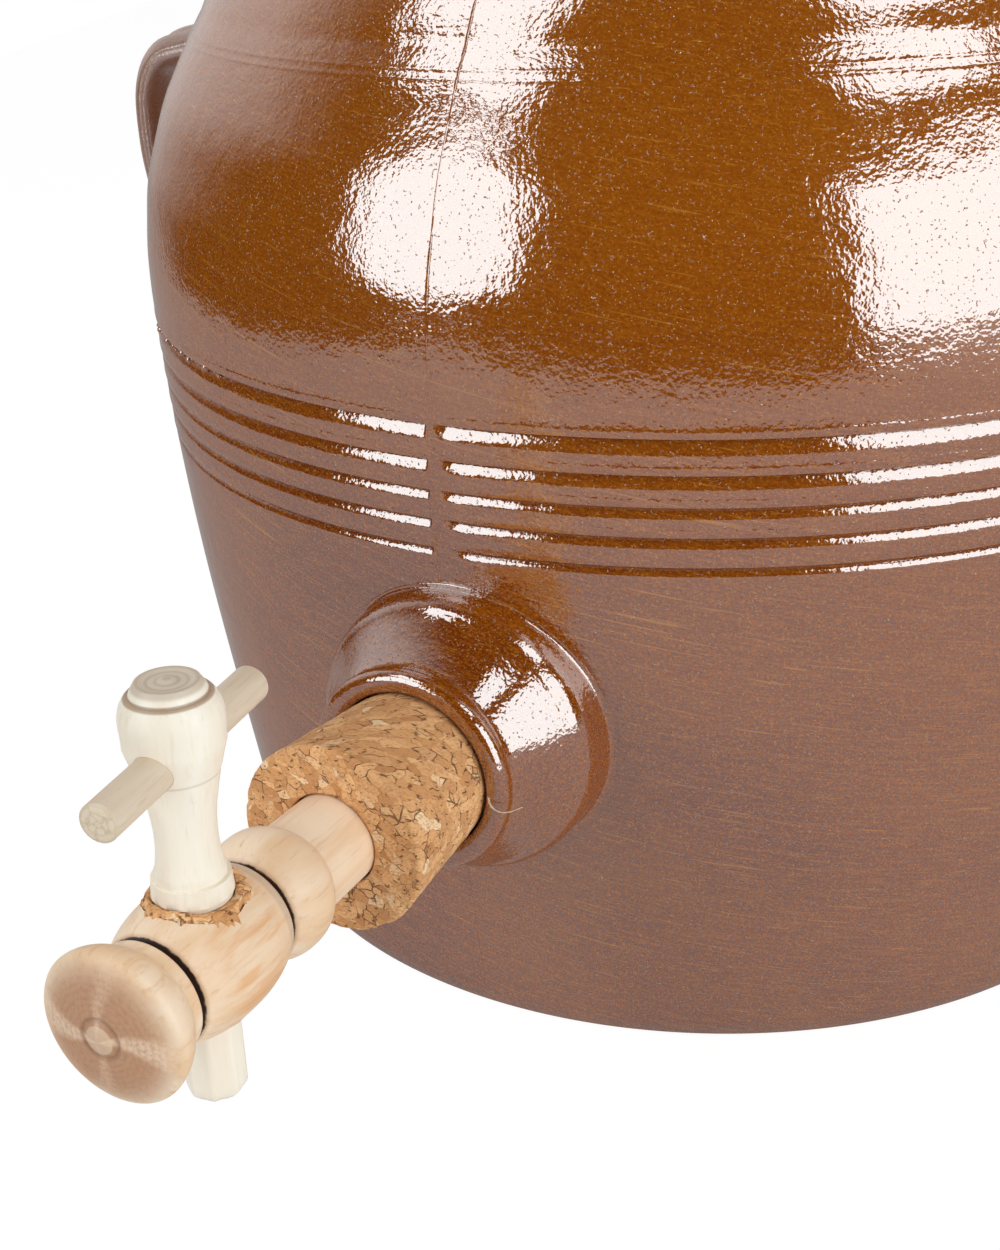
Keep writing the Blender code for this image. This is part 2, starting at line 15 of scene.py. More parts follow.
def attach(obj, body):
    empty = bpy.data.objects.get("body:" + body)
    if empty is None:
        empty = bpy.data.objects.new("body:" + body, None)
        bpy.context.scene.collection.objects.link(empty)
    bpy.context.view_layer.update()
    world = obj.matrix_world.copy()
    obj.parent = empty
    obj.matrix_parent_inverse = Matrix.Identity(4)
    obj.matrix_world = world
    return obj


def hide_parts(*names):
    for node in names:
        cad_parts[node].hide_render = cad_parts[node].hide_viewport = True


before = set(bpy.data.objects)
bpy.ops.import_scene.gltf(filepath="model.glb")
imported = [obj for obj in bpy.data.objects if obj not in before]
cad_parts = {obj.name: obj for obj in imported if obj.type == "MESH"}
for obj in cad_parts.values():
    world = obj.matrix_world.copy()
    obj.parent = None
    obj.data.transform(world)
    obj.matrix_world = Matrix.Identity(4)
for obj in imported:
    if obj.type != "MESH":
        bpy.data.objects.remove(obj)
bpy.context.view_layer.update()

# Camera
CAMERA_AZIMUTH = radians(22.08)
CAMERA_DISTANCE = 0.3707
CAMERA_HEIGHT = 0.2045
CAMERA_YAW = radians(28.979)
CAMERA_PITCH = radians(66.063)
CAMERA_ROLL = radians(-2.576)
CAMERA_LENS = 53.28
CAMERA_SENSOR = 36.0

# Studio
TABLE_FRONT = 0.6
TABLE_BACK = 3.0
TABLE_LEFT = 0.68
TABLE_RIGHT = 3.0
TABLE_COLOUR = (0.86, 0.86, 0.87)
GLOW_SEEN = 1.06
GLOW_MIRRORED = 0.36
GLOW_SHARE_SEEN = 0.9
GLOW_SHARE_MIRRORED = 0.8
TO_THE_CAMERA = Vector((sin(CAMERA_AZIMUTH), -cos(CAMERA_AZIMUTH), 0))
TO_THE_RIGHT = Vector((cos(CAMERA_AZIMUTH), sin(CAMERA_AZIMUTH), 0))
BOX_DISTANCE = 1.2
BOX_TARGET = Vector((0, 0, 0.12))
BOX_RADIANCE = 3.8
BOX_COLOUR = (0.93, 0.985, 1.0)

# Soft boxes: shape, azimuth, elevation, width and height
SOFT_BOXES = (
    ("ELLIPSE", radians(-29), radians(16.5), 0.76, 0.84),
    ("RECTANGLE", radians(-37), radians(47), 0.56, 0.38),
    ("RECTANGLE", radians(71), radians(12), 1.0, 0.88),
    ("RECTANGLE", radians(76), radians(49), 0.58, 0.32),
)

# Jar body, as the solids have it
FOOT_RADIUS = 0.095
FOOT_EDGE = 0.0018
BELLY_RADIUS = 0.1095
BELLY_HEIGHT = 0.1235
LOWER_CURVE = 1.47
SHOULDER_RISE = 0.0485
SHOULDER_STEP = 0.0145
SHOULDER_CURVE = 2.25
DOME_RISE = 0.019
DOME_STEP = 0.023
DOME_BEND = 0.34
DOME_LIFT = 0.82
NECK_RISE = 0.022
NECK_FILLET = 0.0025
NECK_WALL = 0.0065
RIM_PROUD = 0.004
RIM_DEPTH = 0.0095
RIM_EDGE = 0.002
RIM_CURVE = 1.6
WALL = 0.008
FLOOR = 0.009
FLOOR_CORNER = 0.010
FOOT_PLAIN = 0.003
FOOT_FADE = 0.006
CREASE_HEIGHT = BELLY_HEIGHT + SHOULDER_RISE
CREASE_RADIUS = BELLY_RADIUS - SHOULDER_STEP
CREASE_LINES = (0.1675, 0.1688)
CREASE_LINE_WIDTH = 0.00028
CREASE_LINE_HEIGHT = 0.00005
NECK_HEIGHT = CREASE_HEIGHT + DOME_RISE
NECK_RADIUS = CREASE_RADIUS - DOME_STEP
RIM_HEIGHT = NECK_HEIGHT + NECK_RISE
RIM_RADIUS = NECK_RADIUS + RIM_PROUD
MOUTH_RADIUS = NECK_RADIUS - NECK_WALL

# Waves of the thrown wall: how far each swells, how many go round, and how fast it climbs
WAVES = ((0.00012, 3, 40), (0.00007, 7, -75))
THROWN_RING = 0.00009
THROWN_RING_PACE = 420
THROWN_RINGS_START = 0.122
THROWN_RINGS_FADE = 0.02

# Grooves: the height of each sharp lip and how far its flank reaches down
GROOVES = ((0.1176, 0.0028), (0.1118, 0.00245), (0.1066, 0.00205), (0.1016, 0.002), (0.0966, 0.0017))
GROOVE_DEPTH = 0.0009
GROOVE_LIP = 0.00025
GROOVE_HOLLOW = 1.7
GROOVE_BEAD = 0.00008
GROOVE_BEAD_WIDTH = 0.0016

# How far left of the seam the grooves stop, and where each starts to the right of it
GROOVE_STOP = 0.0004
GROOVE_STOP_LENGTH = 0.0005
GROOVE_STARTS = (0.0001, 0.0009, 0.0009, 0.0015, 0.003)
GROOVE_FADE = 0.003

# Small runs of glaze on the top groove
DRIP_COUNT = 13
DRIPS_START = radians(-48)
DRIPS_END = radians(-26)
DRIP_SIZE = 0.0006
DRIP_CHANGE = 0.0003
DRIP_BULGE = 0.75
DRIP_ROOT = 0.0004
DRIP_SINK = 0.0002
DRIP_FALL = 0.0005

# Seam down the front
SEAM_AZIMUTH_LOW = radians(-1.3)
SEAM_AZIMUTH_HIGH = radians(0.3)
SEAM_LOW = 0.087
SEAM_HIGH = 0.178
SEAM_CUT = 0.00007
SEAM_WIDTH = 0.00019
SEAM_STEP = 0.00008
SEAM_STEP_REACH = 0.004
SEAM_FADE = 0.003

# Heights between which the seam is open, and how far it is
SEAM_OPEN = (
    (0.134, 0.148, 1.0),
    (0.164, 0.18, 1.0),
    (0.12, 0.134, 0.35),
    (0.148, 0.164, 0.2),
    (0.085, 0.098, 0.35),
)

# Boss and tap
TAP_HEIGHT = 0.0644
CLEARANCE = 0.0003
BOSS_MOUTH = 0.1247926
BOSS_SIDES = 128
BOSS_RADIUS = 0.0249
BOSS_SHOULDER = 0.0035
BOSS_CONE_LENGTH = 0.0085
BOSS_LIP_RADIUS = 0.0018
BOSS_MOUTH_ROUND = 0.0014
BOSS_FILLET = 0.0009
BOSS_HOLLOW = 0.0004
BUNG_SIDES = 200
BUNG_FRONT_RADIUS = 0.0155
BUNG_REAR_RADIUS = 0.0117
BUNG_LENGTH = 0.045
BUNG_FACE = BOSS_MOUTH + 0.0222
BUNG_REAR = BUNG_FACE - BUNG_LENGTH
BUNG_EDGE = 0.0008
CORK_ROUGH = 0.0001
CORK_FINE = 0.00007
CORK_DENT = 0.0003
CORK_WEAR = 0.0004
WALL_BORE_PLAY = 0.0015

# Straw beside the bung
SPLINTER_RADIUS = 0.00022
SPLINTER = (
    (0.0142, -0.1236, 0.0640),
    (0.0152, -0.1254, 0.0631),
    (0.0166, -0.1258, 0.0622),
    (0.0184, -0.1254, 0.0621),
    (0.0204, -0.1241, 0.0628),
)

# Tap barrel
TAIL_LENGTH = 0.055
TAIL_END_RADIUS = 0.0064
NECK_LENGTH = 0.011
TAP_NECK_RADIUS = 0.0076
BEAD_LENGTH = 0.0101
BEAD_RADIUS = 0.0098
BEAD_END_RADIUS = 0.0081
RING_WIDTH = 0.0013
RING_DEPTH = 0.001
BARREL_SIDES = 128
BARREL_LENGTH = 0.0197
BARREL_RADIUS = 0.0104
BARREL_END_RADIUS = 0.0084
KNOB_NECK_LENGTH = 0.0024
KNOB_NECK_RADIUS = 0.009
KNOB_BACK_LENGTH = 0.0047
KNOB_RADIUS = 0.0113
KNOB_FRONT_LENGTH = 0.0031
NUB_RADIUS = 0.0022
NUB_HEIGHT = 0.0006
CHANNEL_RADIUS = 0.0025
BEAD_START = BUNG_FACE + NECK_LENGTH
BEAD_END = BEAD_START + BEAD_LENGTH
BARREL_START = BEAD_END + RING_WIDTH
BARREL_END = BARREL_START + BARREL_LENGTH
KEY_PLACE = BARREL_START + BARREL_LENGTH / 2
KNOB_START = BARREL_END + RING_WIDTH
KNOB_BACK = KNOB_START + KNOB_NECK_LENGTH
KNOB_EDGE = KNOB_BACK + KNOB_BACK_LENGTH
KNOB_FACE = KNOB_EDGE + KNOB_FRONT_LENGTH

# Key
LINING = 0.0011
KEY_SEAT_RADIUS = 0.0053
KEY_TAIL_RADIUS = 0.0042
KEY_TAIL_LENGTH = 0.0223
KEY_TAIL_CHAMFER = 0.0009
KEY_COLLAR = BARREL_RADIUS - 0.0008
KEY_COLLAR_RADIUS = 0.0056
KEY_COLLAR_LENGTH = 0.003
KEY_WAIST_RADIUS = 0.0042
KEY_WAIST_LENGTH = 0.0062
KEY_SWELL_LENGTH = 0.0135
KEY_HEAD_RADIUS = 0.0068
KEY_CROWN_LENGTH = 0.0087
KEY_CROWN_RADIUS = 0.0058
KEY_TOP_RADIUS = 0.0046
KEY_TOP_LENGTH = 0.0021
SPOUT_RADIUS = 0.0019
PORT_RADIUS = 0.0016
CROSSBAR_RADIUS = 0.00275
CROSSBAR_LENGTH = 0.0404
CROSSBAR_OFFSET = 0.0011
CROSSBAR_CHAMFER = 0.0004
KEY_REST_ANGLE = radians(7.9)
KEY_HEAD = KEY_COLLAR + KEY_COLLAR_LENGTH + KEY_WAIST_LENGTH + KEY_SWELL_LENGTH
KEY_CROWN = KEY_HEAD + KEY_CROWN_LENGTH
KEY_SCORE = KEY_HEAD - 0.0043
KEY_SCORE_DEPTH = 0.00012
KEY_SCORE_WIDTH = 0.00022
KEY_SIDES = 96
KEY_FLAT = 0.965
CROSSBAR_HEIGHT = KEY_HEAD - 0.0018

# Shreds round the key. Of each ring in their outline: how far out it lies, and its share of their height
SHRED_SIDES = 180
SHRED_GAP = 0.0002
SHRED_REACH = 0.0013
SHRED_HEIGHT = 0.0006
SHRED_ROOT = 0.0016
SHRED_OUTLINE = (
    (0, None),
    (0, 0.0002),
    (0, 0.45),
    (0.2, 0.85),
    (0.45, 1),
    (0.7, 0.8),
    (0.9, 0.45),
    (1, 0.05),
    (0.97, -0.3),
)

# Handles
HANDLE_WIDTH = 0.019
HANDLE_THICKNESS = 0.007
HANDLE_REACH = 0.0218
HANDLE_BELOW_CREASE = 0.007
HANDLE_HEIGHT = 0.056
HANDLE_RIB = 0.0009
HANDLE_EDGE_HOLLOW = 0.0007
HANDLE_HOLLOW_REACH = 0.0011
HANDLE_ROOT_SINK = 0.0045
HANDLE_FLARE = 0.32
HANDLE_FLARE_REACH = 0.003
HANDLE_SIDES = 64
HANDLE_STEPS = 7
HANDLE_PATH = (
    (0, 0),
    (0.3, 0.036),
    (0.6, 0.101),
    (0.86, 0.15),
    (0.985, 0.281),
    (1, 0.4875),
    (0.97, 0.6375),
    (0.93, 0.775),
    (0.8, 0.89),
    (0.5, 0.965),
    (0.2, 1),
)

# Lid
LID_OVERHANG = 0.0015
LID_EDGE_THICKNESS = 0.0055
LID_EDGE_ROUND = 0.0018
LID_DOME = 0.0065
LID_HOLLOW = 0.004
LID_PLAY = 0.0015
FLANGE_DEPTH = 0.008
FLANGE_WALL = 0.0055
FLANGE_EDGE = 0.001
LID_KNOB_HEIGHT = 0.0145
LID_KNOB_RADIUS = 0.0145
LID_KNOB_WAIST = 0.0095
LID_WAIST_CURVE = (0.004, 0.0035)
LID_WAVES = 0.00012
LID_SIDES = 160


def spread(start, end, steps):
    """Evenly spaced values from start to end, both included."""
    return [start + (end - start) * step / steps for step in range(steps + 1)]


def smooth_step(value):
    """0 below 0, 1 above 1 and a smooth rise between."""
    held = min(max(value, 0), 1)
    return held * held * (3 - 2 * held)


def arc(centre, radii, start, end, steps):
    """Outline points (radius, height) on an ellipse or circle round centre, between two angles in degrees."""
    wide, high = radii if isinstance(radii, tuple) else (radii, radii)
    angles = [radians(angle) for angle in spread(start, end, steps)]
    return [(centre[0] + wide * cos(angle), centre[1] + high * sin(angle)) for angle in angles]


def bent(start, corner, end, share):
    """A point on the curve from start to end that leans towards a corner."""
    weights = ((1 - share) ** 2, 2 * share * (1 - share), share**2)
    pairs = list(zip(weights, (start, corner, end)))
    return [sum(weight * point[axis] for weight, point in pairs) for axis in (0, 1)]


def placed(name, data):
    """An object with this data, in the scene."""
    made = bpy.data.objects.new(name, data)
    bpy.context.collection.objects.link(made)
    return made


def skin(name, rings, closed=False):
    """An object whose faces join rings of points.

    A ring of one point is a pole, and closed joins the last ring to the first.
    """
    shape = bmesh.new()
    made = [[shape.verts.new(point) for point in ring] for ring in rings]
    pairs = list(zip(made, made[1:]))
    if closed:
        pairs.append((made[-1], made[0]))
    for ring, following in pairs:
        count = max(len(ring), len(following))
        for corner in range(count):
            beside = (corner + 1) % count
            if len(ring) == 1:
                shape.faces.new((ring[0], following[beside], following[corner]))
            elif len(following) == 1:
                shape.faces.new((ring[corner], ring[beside], following[0]))
            else:
                shape.faces.new((ring[corner], ring[beside], following[beside], following[corner]))
    bmesh.ops.recalc_face_normals(shape, faces=shape.faces)
    mesh = bpy.data.meshes.new(name)
    shape.to_mesh(mesh)
    shape.free()
    mesh.shade_smooth()
    return placed(name, mesh)


def round_angles(sides):
    """The angle of each corner of a ring."""
    return [2 * pi * side / sides for side in range(sides)]


def turned_rings(outline, sides, frame_of):
    """Rings of an outline turned about an axis. frame_of places (across, up, along) in the part's frame."""
    rings = []
    for radius, along in outline:
        if radius == 0:
            rings.append([frame_of(0, 0, along)])
        else:
            angles = round_angles(sides)
            rings.append([frame_of(radius * cos(angle), radius * sin(angle), along) for angle in angles])
    return rings


def drill(name, radii, span, sides, frame_of):
    """A straight or tapered cutter, from one end of its span to the other."""
    outline = [(0, span[0]), (radii[0], span[0]), (radii[1], span[1]), (0, span[1])]
    return skin(name, turned_rings(outline, sides, frame_of))


def cut_out(piece, cutters, sharp):
    """The piece without the cutters' shapes, with edges that look sharp from an angle in degrees."""
    for cutter in cutters:
        cut = piece.modifiers.new(cutter.name, "BOOLEAN")
        cut.object = cutter
        bpy.context.view_layer.objects.active = piece
        bpy.ops.object.modifier_apply(modifier=cut.name)
        bpy.data.objects.remove(cutter)
    piece.data.set_sharp_from_angle(angle=radians(sharp))
    return piece


def rough(place, scale, height, seed=0.0):
    """Smooth unevenness of a surface at a place, from -height to height."""
    return height * noise.noise(Vector(place) * scale + Vector((seed, seed, seed)))


def bulged(start, end, peak, power, steps):
    """Outline points from start to end that swell to the radius peak, more squarely for a higher power."""
    points = []
    for share in spread(0, 1, steps):
        straight = start[0] + (end[0] - start[0]) * share
        along = start[1] + (end[1] - start[1]) * share
        points.append((straight + (peak - straight) * (1 - abs(2 * share - 1) ** power), along))
    return points


# Jar


def body_radius(height):
    """Radius of the jar's outside between its foot and its crease, without the grooves."""
    if height < BELLY_HEIGHT:
        below = 1 - height / BELLY_HEIGHT
        return BELLY_RADIUS - (BELLY_RADIUS - FOOT_RADIUS) * below**LOWER_CURVE
    above = (height - BELLY_HEIGHT) / SHOULDER_RISE
    return BELLY_RADIUS - SHOULDER_STEP * above**SHOULDER_CURVE


def dome_outline(start, end, steps):
    """Points of the dome's curve from its start at the crease to its end at the neck."""
    corner = (start[0] + (end[0] - start[0]) * DOME_BEND, start[1] + (end[1] - start[1]) * DOME_LIFT)
    return [bent(start, corner, end, share) for share in spread(0, 1, steps)]


def groove_cut(height):
    """How far the grooves cut in at a height. Above each lip a low bead stands out."""
    for lip, flank in GROOVES:
        under = lip - height
        if 0 <= under <= flank:
            kept = 1 - max(under - GROOVE_LIP, 0) / (flank - GROOVE_LIP)
            return GROOVE_DEPTH * min(under / GROOVE_LIP, 1) * kept**GROOVE_HOLLOW
        if -GROOVE_BEAD_WIDTH < under < 0:
            return -GROOVE_BEAD * sin(pi * -under / GROOVE_BEAD_WIDTH)
    return 0


def groove_share(along, height):
    """How deep the grooves are beside the seam: they stop short on its left and fade in on its right."""
    if along < 0:
        return smooth_step((-along - GROOVE_STOP) / GROOVE_STOP_LENGTH)
    start = GROOVE_STARTS[-1]
    for (lip, flank), groove_start in zip(GROOVES, GROOVE_STARTS):
        if lip - flank <= height <= lip + GROOVE_BEAD_WIDTH:
            start = groove_start
    return smooth_step((along - start) / GROOVE_FADE)


def seam_open(height):
    """How far the seam is open at a height, from 0 to 1."""
    return sum(share * smooth_step((height - low) / SEAM_FADE) * smooth_step((high - height) / SEAM_FADE)
               for low, high, share in SEAM_OPEN)


def seam_azimuth(height):
    """The azimuth of the seam at a height."""
    share = (height - SEAM_LOW) / (SEAM_HIGH - SEAM_LOW)
    return SEAM_AZIMUTH_LOW + (SEAM_AZIMUTH_HIGH - SEAM_AZIMUTH_LOW) * share


def surface_change(along, azimuth, height):
    """How far the outside stands from its plain radius, along metres to the right of the seam."""
    cut = SEAM_CUT * seam_open(height) * exp(-((along / SEAM_WIDTH) ** 2))
    step = SEAM_STEP * (-1 if along > 0 else 1) * exp(-abs(along) / SEAM_STEP_REACH)
    lines = sum(exp(-(((height - at) / CREASE_LINE_WIDTH) ** 2)) for at in CREASE_LINES) * CREASE_LINE_HEIGHT
    waves = sum(swell * sin(turns * azimuth + height * rise) for swell, turns, rise in WAVES)
    above = smooth_step((height - THROWN_RINGS_START) / THROWN_RINGS_FADE)
    waves += THROWN_RING * sin(height * THROWN_RING_PACE + 2 * sin(azimuth)) * above
    held = smooth_step((height - FOOT_PLAIN) / FOOT_FADE)
    return (step - cut + waves) * held + lines - groove_cut(height) * groove_share(along, height)


def body_heights():
    """Heights of the rings between the foot and the crease, close together where the wall has detail."""
    heights = spread(FOOT_EDGE, GROOVES[-1][0] - GROOVES[-1][1], 44)
    for lip, flank in reversed(GROOVES):
        heights += [lip - flank]
        heights += spread(lip - flank * 0.9, lip - GROOVE_LIP * 1.5, 4)
        heights += [lip - GROOVE_LIP, lip - GROOVE_LIP / 2, lip]
        heights += [lip + GROOVE_BEAD_WIDTH * share for share in (0.12, 0.3, 0.5, 0.7, 0.88, 1)]
    heights += spread(GROOVES[0][0] + GROOVE_BEAD_WIDTH * 2, CREASE_LINES[0] - 0.001, 46)
    heights += spread(CREASE_LINES[0] - 0.0008, CREASE_LINES[1] + 0.0008, 24)
    heights += spread(CREASE_LINES[1] + 0.0012, CREASE_HEIGHT, 4)
    return heights


def seam_offsets():
    """Places across a ring in metres from the seam, close together near it."""
    near = [step * 0.0001 for step in range(9)]
    near += [0.0011, 0.00125, 0.0014, 0.0016, 0.0018, 0.0021, 0.0025]
    near += [0.003, 0.0036, 0.0043, 0.0051, 0.006, 0.007]
    girth = 2 * pi * BELLY_RADIUS
    far = spread(near[-1], girth - near[-1], 400)[1:-1]
    return near + far + [girth - offset for offset in reversed(near[1:])]


def make_jar():
    """The thrown jar, with its wall bored behind the boss."""
    offsets = seam_offsets()
    girth = 2 * pi * BELLY_RADIUS

    def ring(radius, height, shaped=False):
        points = []
        for offset in offsets:
            along = offset if offset < girth / 2 else offset - girth
            azimuth = seam_azimuth(min(max(height, 0), NECK_HEIGHT)) + offset / BELLY_RADIUS
            reach = radius + (surface_change(along, azimuth, height) if shaped else 0)
            points.append((reach * sin(azimuth), -reach * cos(azimuth), height))
        return points

    rings = [[(0, 0, 0)], ring(FOOT_RADIUS * 0.5, 0)]
    rings += [ring(*point) for point in arc((FOOT_RADIUS - FOOT_EDGE, FOOT_EDGE), FOOT_EDGE, -90, -10, 5)]
    rings += [ring(body_radius(height), height, True) for height in body_heights()]
    dome = dome_outline((CREASE_RADIUS, CREASE_HEIGHT), (NECK_RADIUS + NECK_FILLET, NECK_HEIGHT), 24)
    rings += [ring(radius, height, True) for radius, height in dome[1:-3]]
    outline = dome[-3:]
    outline += arc((NECK_RADIUS + NECK_FILLET, NECK_HEIGHT + NECK_FILLET), NECK_FILLET, -100, -180, 6)
    flare_low = RIM_HEIGHT - RIM_DEPTH
    flare_high = RIM_HEIGHT - RIM_EDGE * 1.5
    flare_end = RIM_RADIUS - RIM_EDGE * (1 - cos(radians(30)))
    neck = spread(NECK_HEIGHT + NECK_FILLET * 1.4, flare_low - 0.001, 5)
    outline += [(NECK_RADIUS, height) for height in neck]
    for share in spread(0, 1, 8):
        radius = NECK_RADIUS + (flare_end - NECK_RADIUS) * share**RIM_CURVE
        outline.append((radius, flare_low + (flare_high - flare_low) * share))
    outline += arc((RIM_RADIUS - RIM_EDGE, RIM_HEIGHT - RIM_EDGE), RIM_EDGE, -20, 90, 10)
    outline += arc((MOUTH_RADIUS + RIM_EDGE, RIM_HEIGHT - RIM_EDGE), RIM_EDGE, 90, 180, 8)
    inside = dome_outline((CREASE_RADIUS - WALL, CREASE_HEIGHT), (MOUTH_RADIUS, NECK_HEIGHT - WALL), 12)
    outline += inside[::-1]
    corner_top = FLOOR + FLOOR_CORNER
    outline += [(body_radius(height) - WALL, height) for height in spread(CREASE_HEIGHT, corner_top, 30)[1:]]
    side = body_radius(corner_top) - WALL
    outline += arc((side - FLOOR_CORNER, corner_top), FLOOR_CORNER, 0, -90, 8)[1:]
    rings += [ring(*point) for point in outline]
    rings += [ring(side * 0.5, FLOOR), [(0, 0, FLOOR)]]
    hole = bung_radius(BUNG_REAR) + WALL_BORE_PLAY
    bore = drill("wall_bore", (hole, hole), (BUNG_REAR - 0.02, BOSS_MOUTH), 64, along_tap)
    return cut_out(skin("jar_surface", rings), [bore], 60)


def make_beads():
    """Small runs of glaze that hang on the top groove's lip, left of the tap."""
    whole = bmesh.new()
    for index in range(DRIP_COUNT):
        azimuth = DRIPS_START + (DRIPS_END - DRIPS_START) * (index + 0.35 * sin(index * 2.7)) / DRIP_COUNT
        size = DRIP_SIZE + DRIP_CHANGE * sin(index * 1.9)
        height = GROOVES[0][0] - DRIP_SINK - DRIP_FALL * (1 + sin(index * 3.3)) / 2
        radius = body_radius(height) - DRIP_SINK

        def place(across, up, out, turned=azimuth, middle=height, reach=radius):
            side = turned + across / BELLY_RADIUS
            return ((reach + out) * sin(side), -(reach + out) * cos(side), middle + up)

        tall = size * DRIP_BULGE
        outline = [(0, -DRIP_ROOT), *arc((0, -DRIP_ROOT), (size, tall + DRIP_ROOT), 0, 84, 7), (0, tall)]
        bead = skin("glaze_bead", turned_rings(outline, 20, place))
        whole.from_mesh(bead.data)
        bpy.data.objects.remove(bead)
    joined = bpy.data.meshes.new("glaze_beads")
    whole.to_mesh(joined)
    whole.free()
    return placed("glaze_beads", joined)


# Handles


def smooth_path(points, steps):
    """Points on a smooth curve through the given points, with this many steps between each two."""
    ends = [points[0] * 2 - points[1], *points, points[-1] * 2 - points[-2]]
    path = []
    for before, start, end, after in zip(ends, ends[1:], ends[2:], ends[3:]):
        for share in spread(0, 1, steps)[:-1]:
            pull_in = (end - before) * share
            bend = (before * 2 - start * 5 + end * 4 - after) * share**2
            turn = (start * 3 - before - end * 3 + after) * share**3
            path.append(start + (pull_in + bend + turn) / 2)
    return [*path, points[-1]]


def handle_section(flare):
    """Offsets (outward, sideways) of the strap's section, ribbed outside and hollowed along its edges."""
    half_width = HANDLE_WIDTH / 2 * flare
    half_thickness = HANDLE_THICKNESS / 2 * (1 + (flare - 1) * 0.6)
    offsets = []
    for angle in round_angles(HANDLE_SIDES):
        across = cos(angle)
        out = half_thickness * sin(angle)
        if sin(angle) > 0:
            out += HANDLE_RIB * cos(3 * pi * across) * sin(angle)
        hollow = HANDLE_EDGE_HOLLOW * exp(-((out / HANDLE_HOLLOW_REACH) ** 2)) * abs(across) ** 6
        offsets.append((out, (half_width - hollow) * across))
    return offsets


def path_ahead(path, index):
    """The way that a path runs at one of its points."""
    return path[min(index + 1, len(path) - 1)] - path[max(index - 1, 0)]


def make_handle(name, side):
    """A pulled strap handle on +X for side 1 or -X for side -1, smeared into the wall at both roots."""
    top = CREASE_HEIGHT - HANDLE_BELOW_CREASE
    start = body_radius(top) - HANDLE_ROOT_SINK
    reach = BELLY_RADIUS + HANDLE_REACH - start
    points = [Vector((start + reach * out, 0, top - HANDLE_HEIGHT * down)) for out, down in HANDLE_PATH]
    path = smooth_path(points, HANDLE_STEPS)
    rings = []
    for index, centre in enumerate(path):
        ahead = path_ahead(path, index)
        outward = Vector((-ahead.z, 0, ahead.x)).normalized()
        outside = max(centre.x - body_radius(centre.z), 0)
        ring = []
        for out, sideways in handle_section(1 + HANDLE_FLARE * exp(-outside / HANDLE_FLARE_REACH)):
            place = centre + outward * out
            ring.append((side * place.x, side * sideways, place.z))
        rings.append(ring)
    first, last = ([tuple(sum(point[axis] for point in ring) / len(ring) for axis in range(3))]
                   for ring in (rings[0], rings[-1]))
    return skin(name, [first, *rings, last])


# Lid


def make_lid():
    """The domed lid with its turned knob, resting on the rim."""
    flange = MOUTH_RADIUS - LID_PLAY
    inner = flange - FLANGE_WALL
    side = RIM_RADIUS + LID_OVERHANG - LID_EDGE_ROUND
    top = LID_EDGE_THICKNESS + LID_DOME
    knob_top = top + LID_KNOB_HEIGHT
    knob_middle = knob_top - LID_KNOB_HEIGHT * 2 / 5
    waist_width, waist_height = LID_WAIST_CURVE
    outline = [(0, LID_HOLLOW), *arc((0, 0), (inner, LID_HOLLOW), 90, 2, 14)[1:]]
    outline += [(inner, -FLANGE_DEPTH + FLANGE_EDGE)]
    outline += arc((inner + FLANGE_EDGE, FLANGE_EDGE - FLANGE_DEPTH), FLANGE_EDGE, 180, 270, 4)
    outline += arc((flange - LID_PLAY, LID_PLAY - FLANGE_DEPTH), LID_PLAY, -90, 0, 5)
    outline += [(flange, -0.0006), (flange + 0.0006, 0)]
    outline += arc((side, LID_EDGE_ROUND), LID_EDGE_ROUND, -90, 0, 6)
    outline += arc((side, LID_EDGE_THICKNESS - LID_EDGE_ROUND), LID_EDGE_ROUND, 0, 70, 6)
    outline += arc((0, LID_EDGE_THICKNESS), (side, LID_DOME), 12, 79, 40)
    outline += arc((LID_KNOB_WAIST + waist_width, top + waist_height), LID_WAIST_CURVE, 262, 180, 8)
    outline += arc((0, knob_middle), (LID_KNOB_RADIUS, knob_top - knob_middle), -42, 88, 24)
    outline += [(0, knob_top)]

    def place(across, up, along):
        return (across, up, RIM_HEIGHT + CLEARANCE + along + LID_WAVES * sin(up * 90) * cos(across * 70))

    return skin("lid_surface", turned_rings(outline, LID_SIDES, place))


# Boss


def along_tap(across, up, along):
    """A point of a piece turned about the tap's axis."""
    return (across, -along, TAP_HEIGHT + up)


def bung_radius(distance):
    """Radius of the tapered bung at a distance from the jar's axis."""
    return BUNG_REAR_RADIUS + (BUNG_FRONT_RADIUS - BUNG_REAR_RADIUS) * (distance - BUNG_REAR) / BUNG_LENGTH


def wall_distance(across, up):
    """Distance along the tap at which the jar's wall stands."""
    radius = body_radius(TAP_HEIGHT + up)
    return sqrt(radius * radius - across * across)


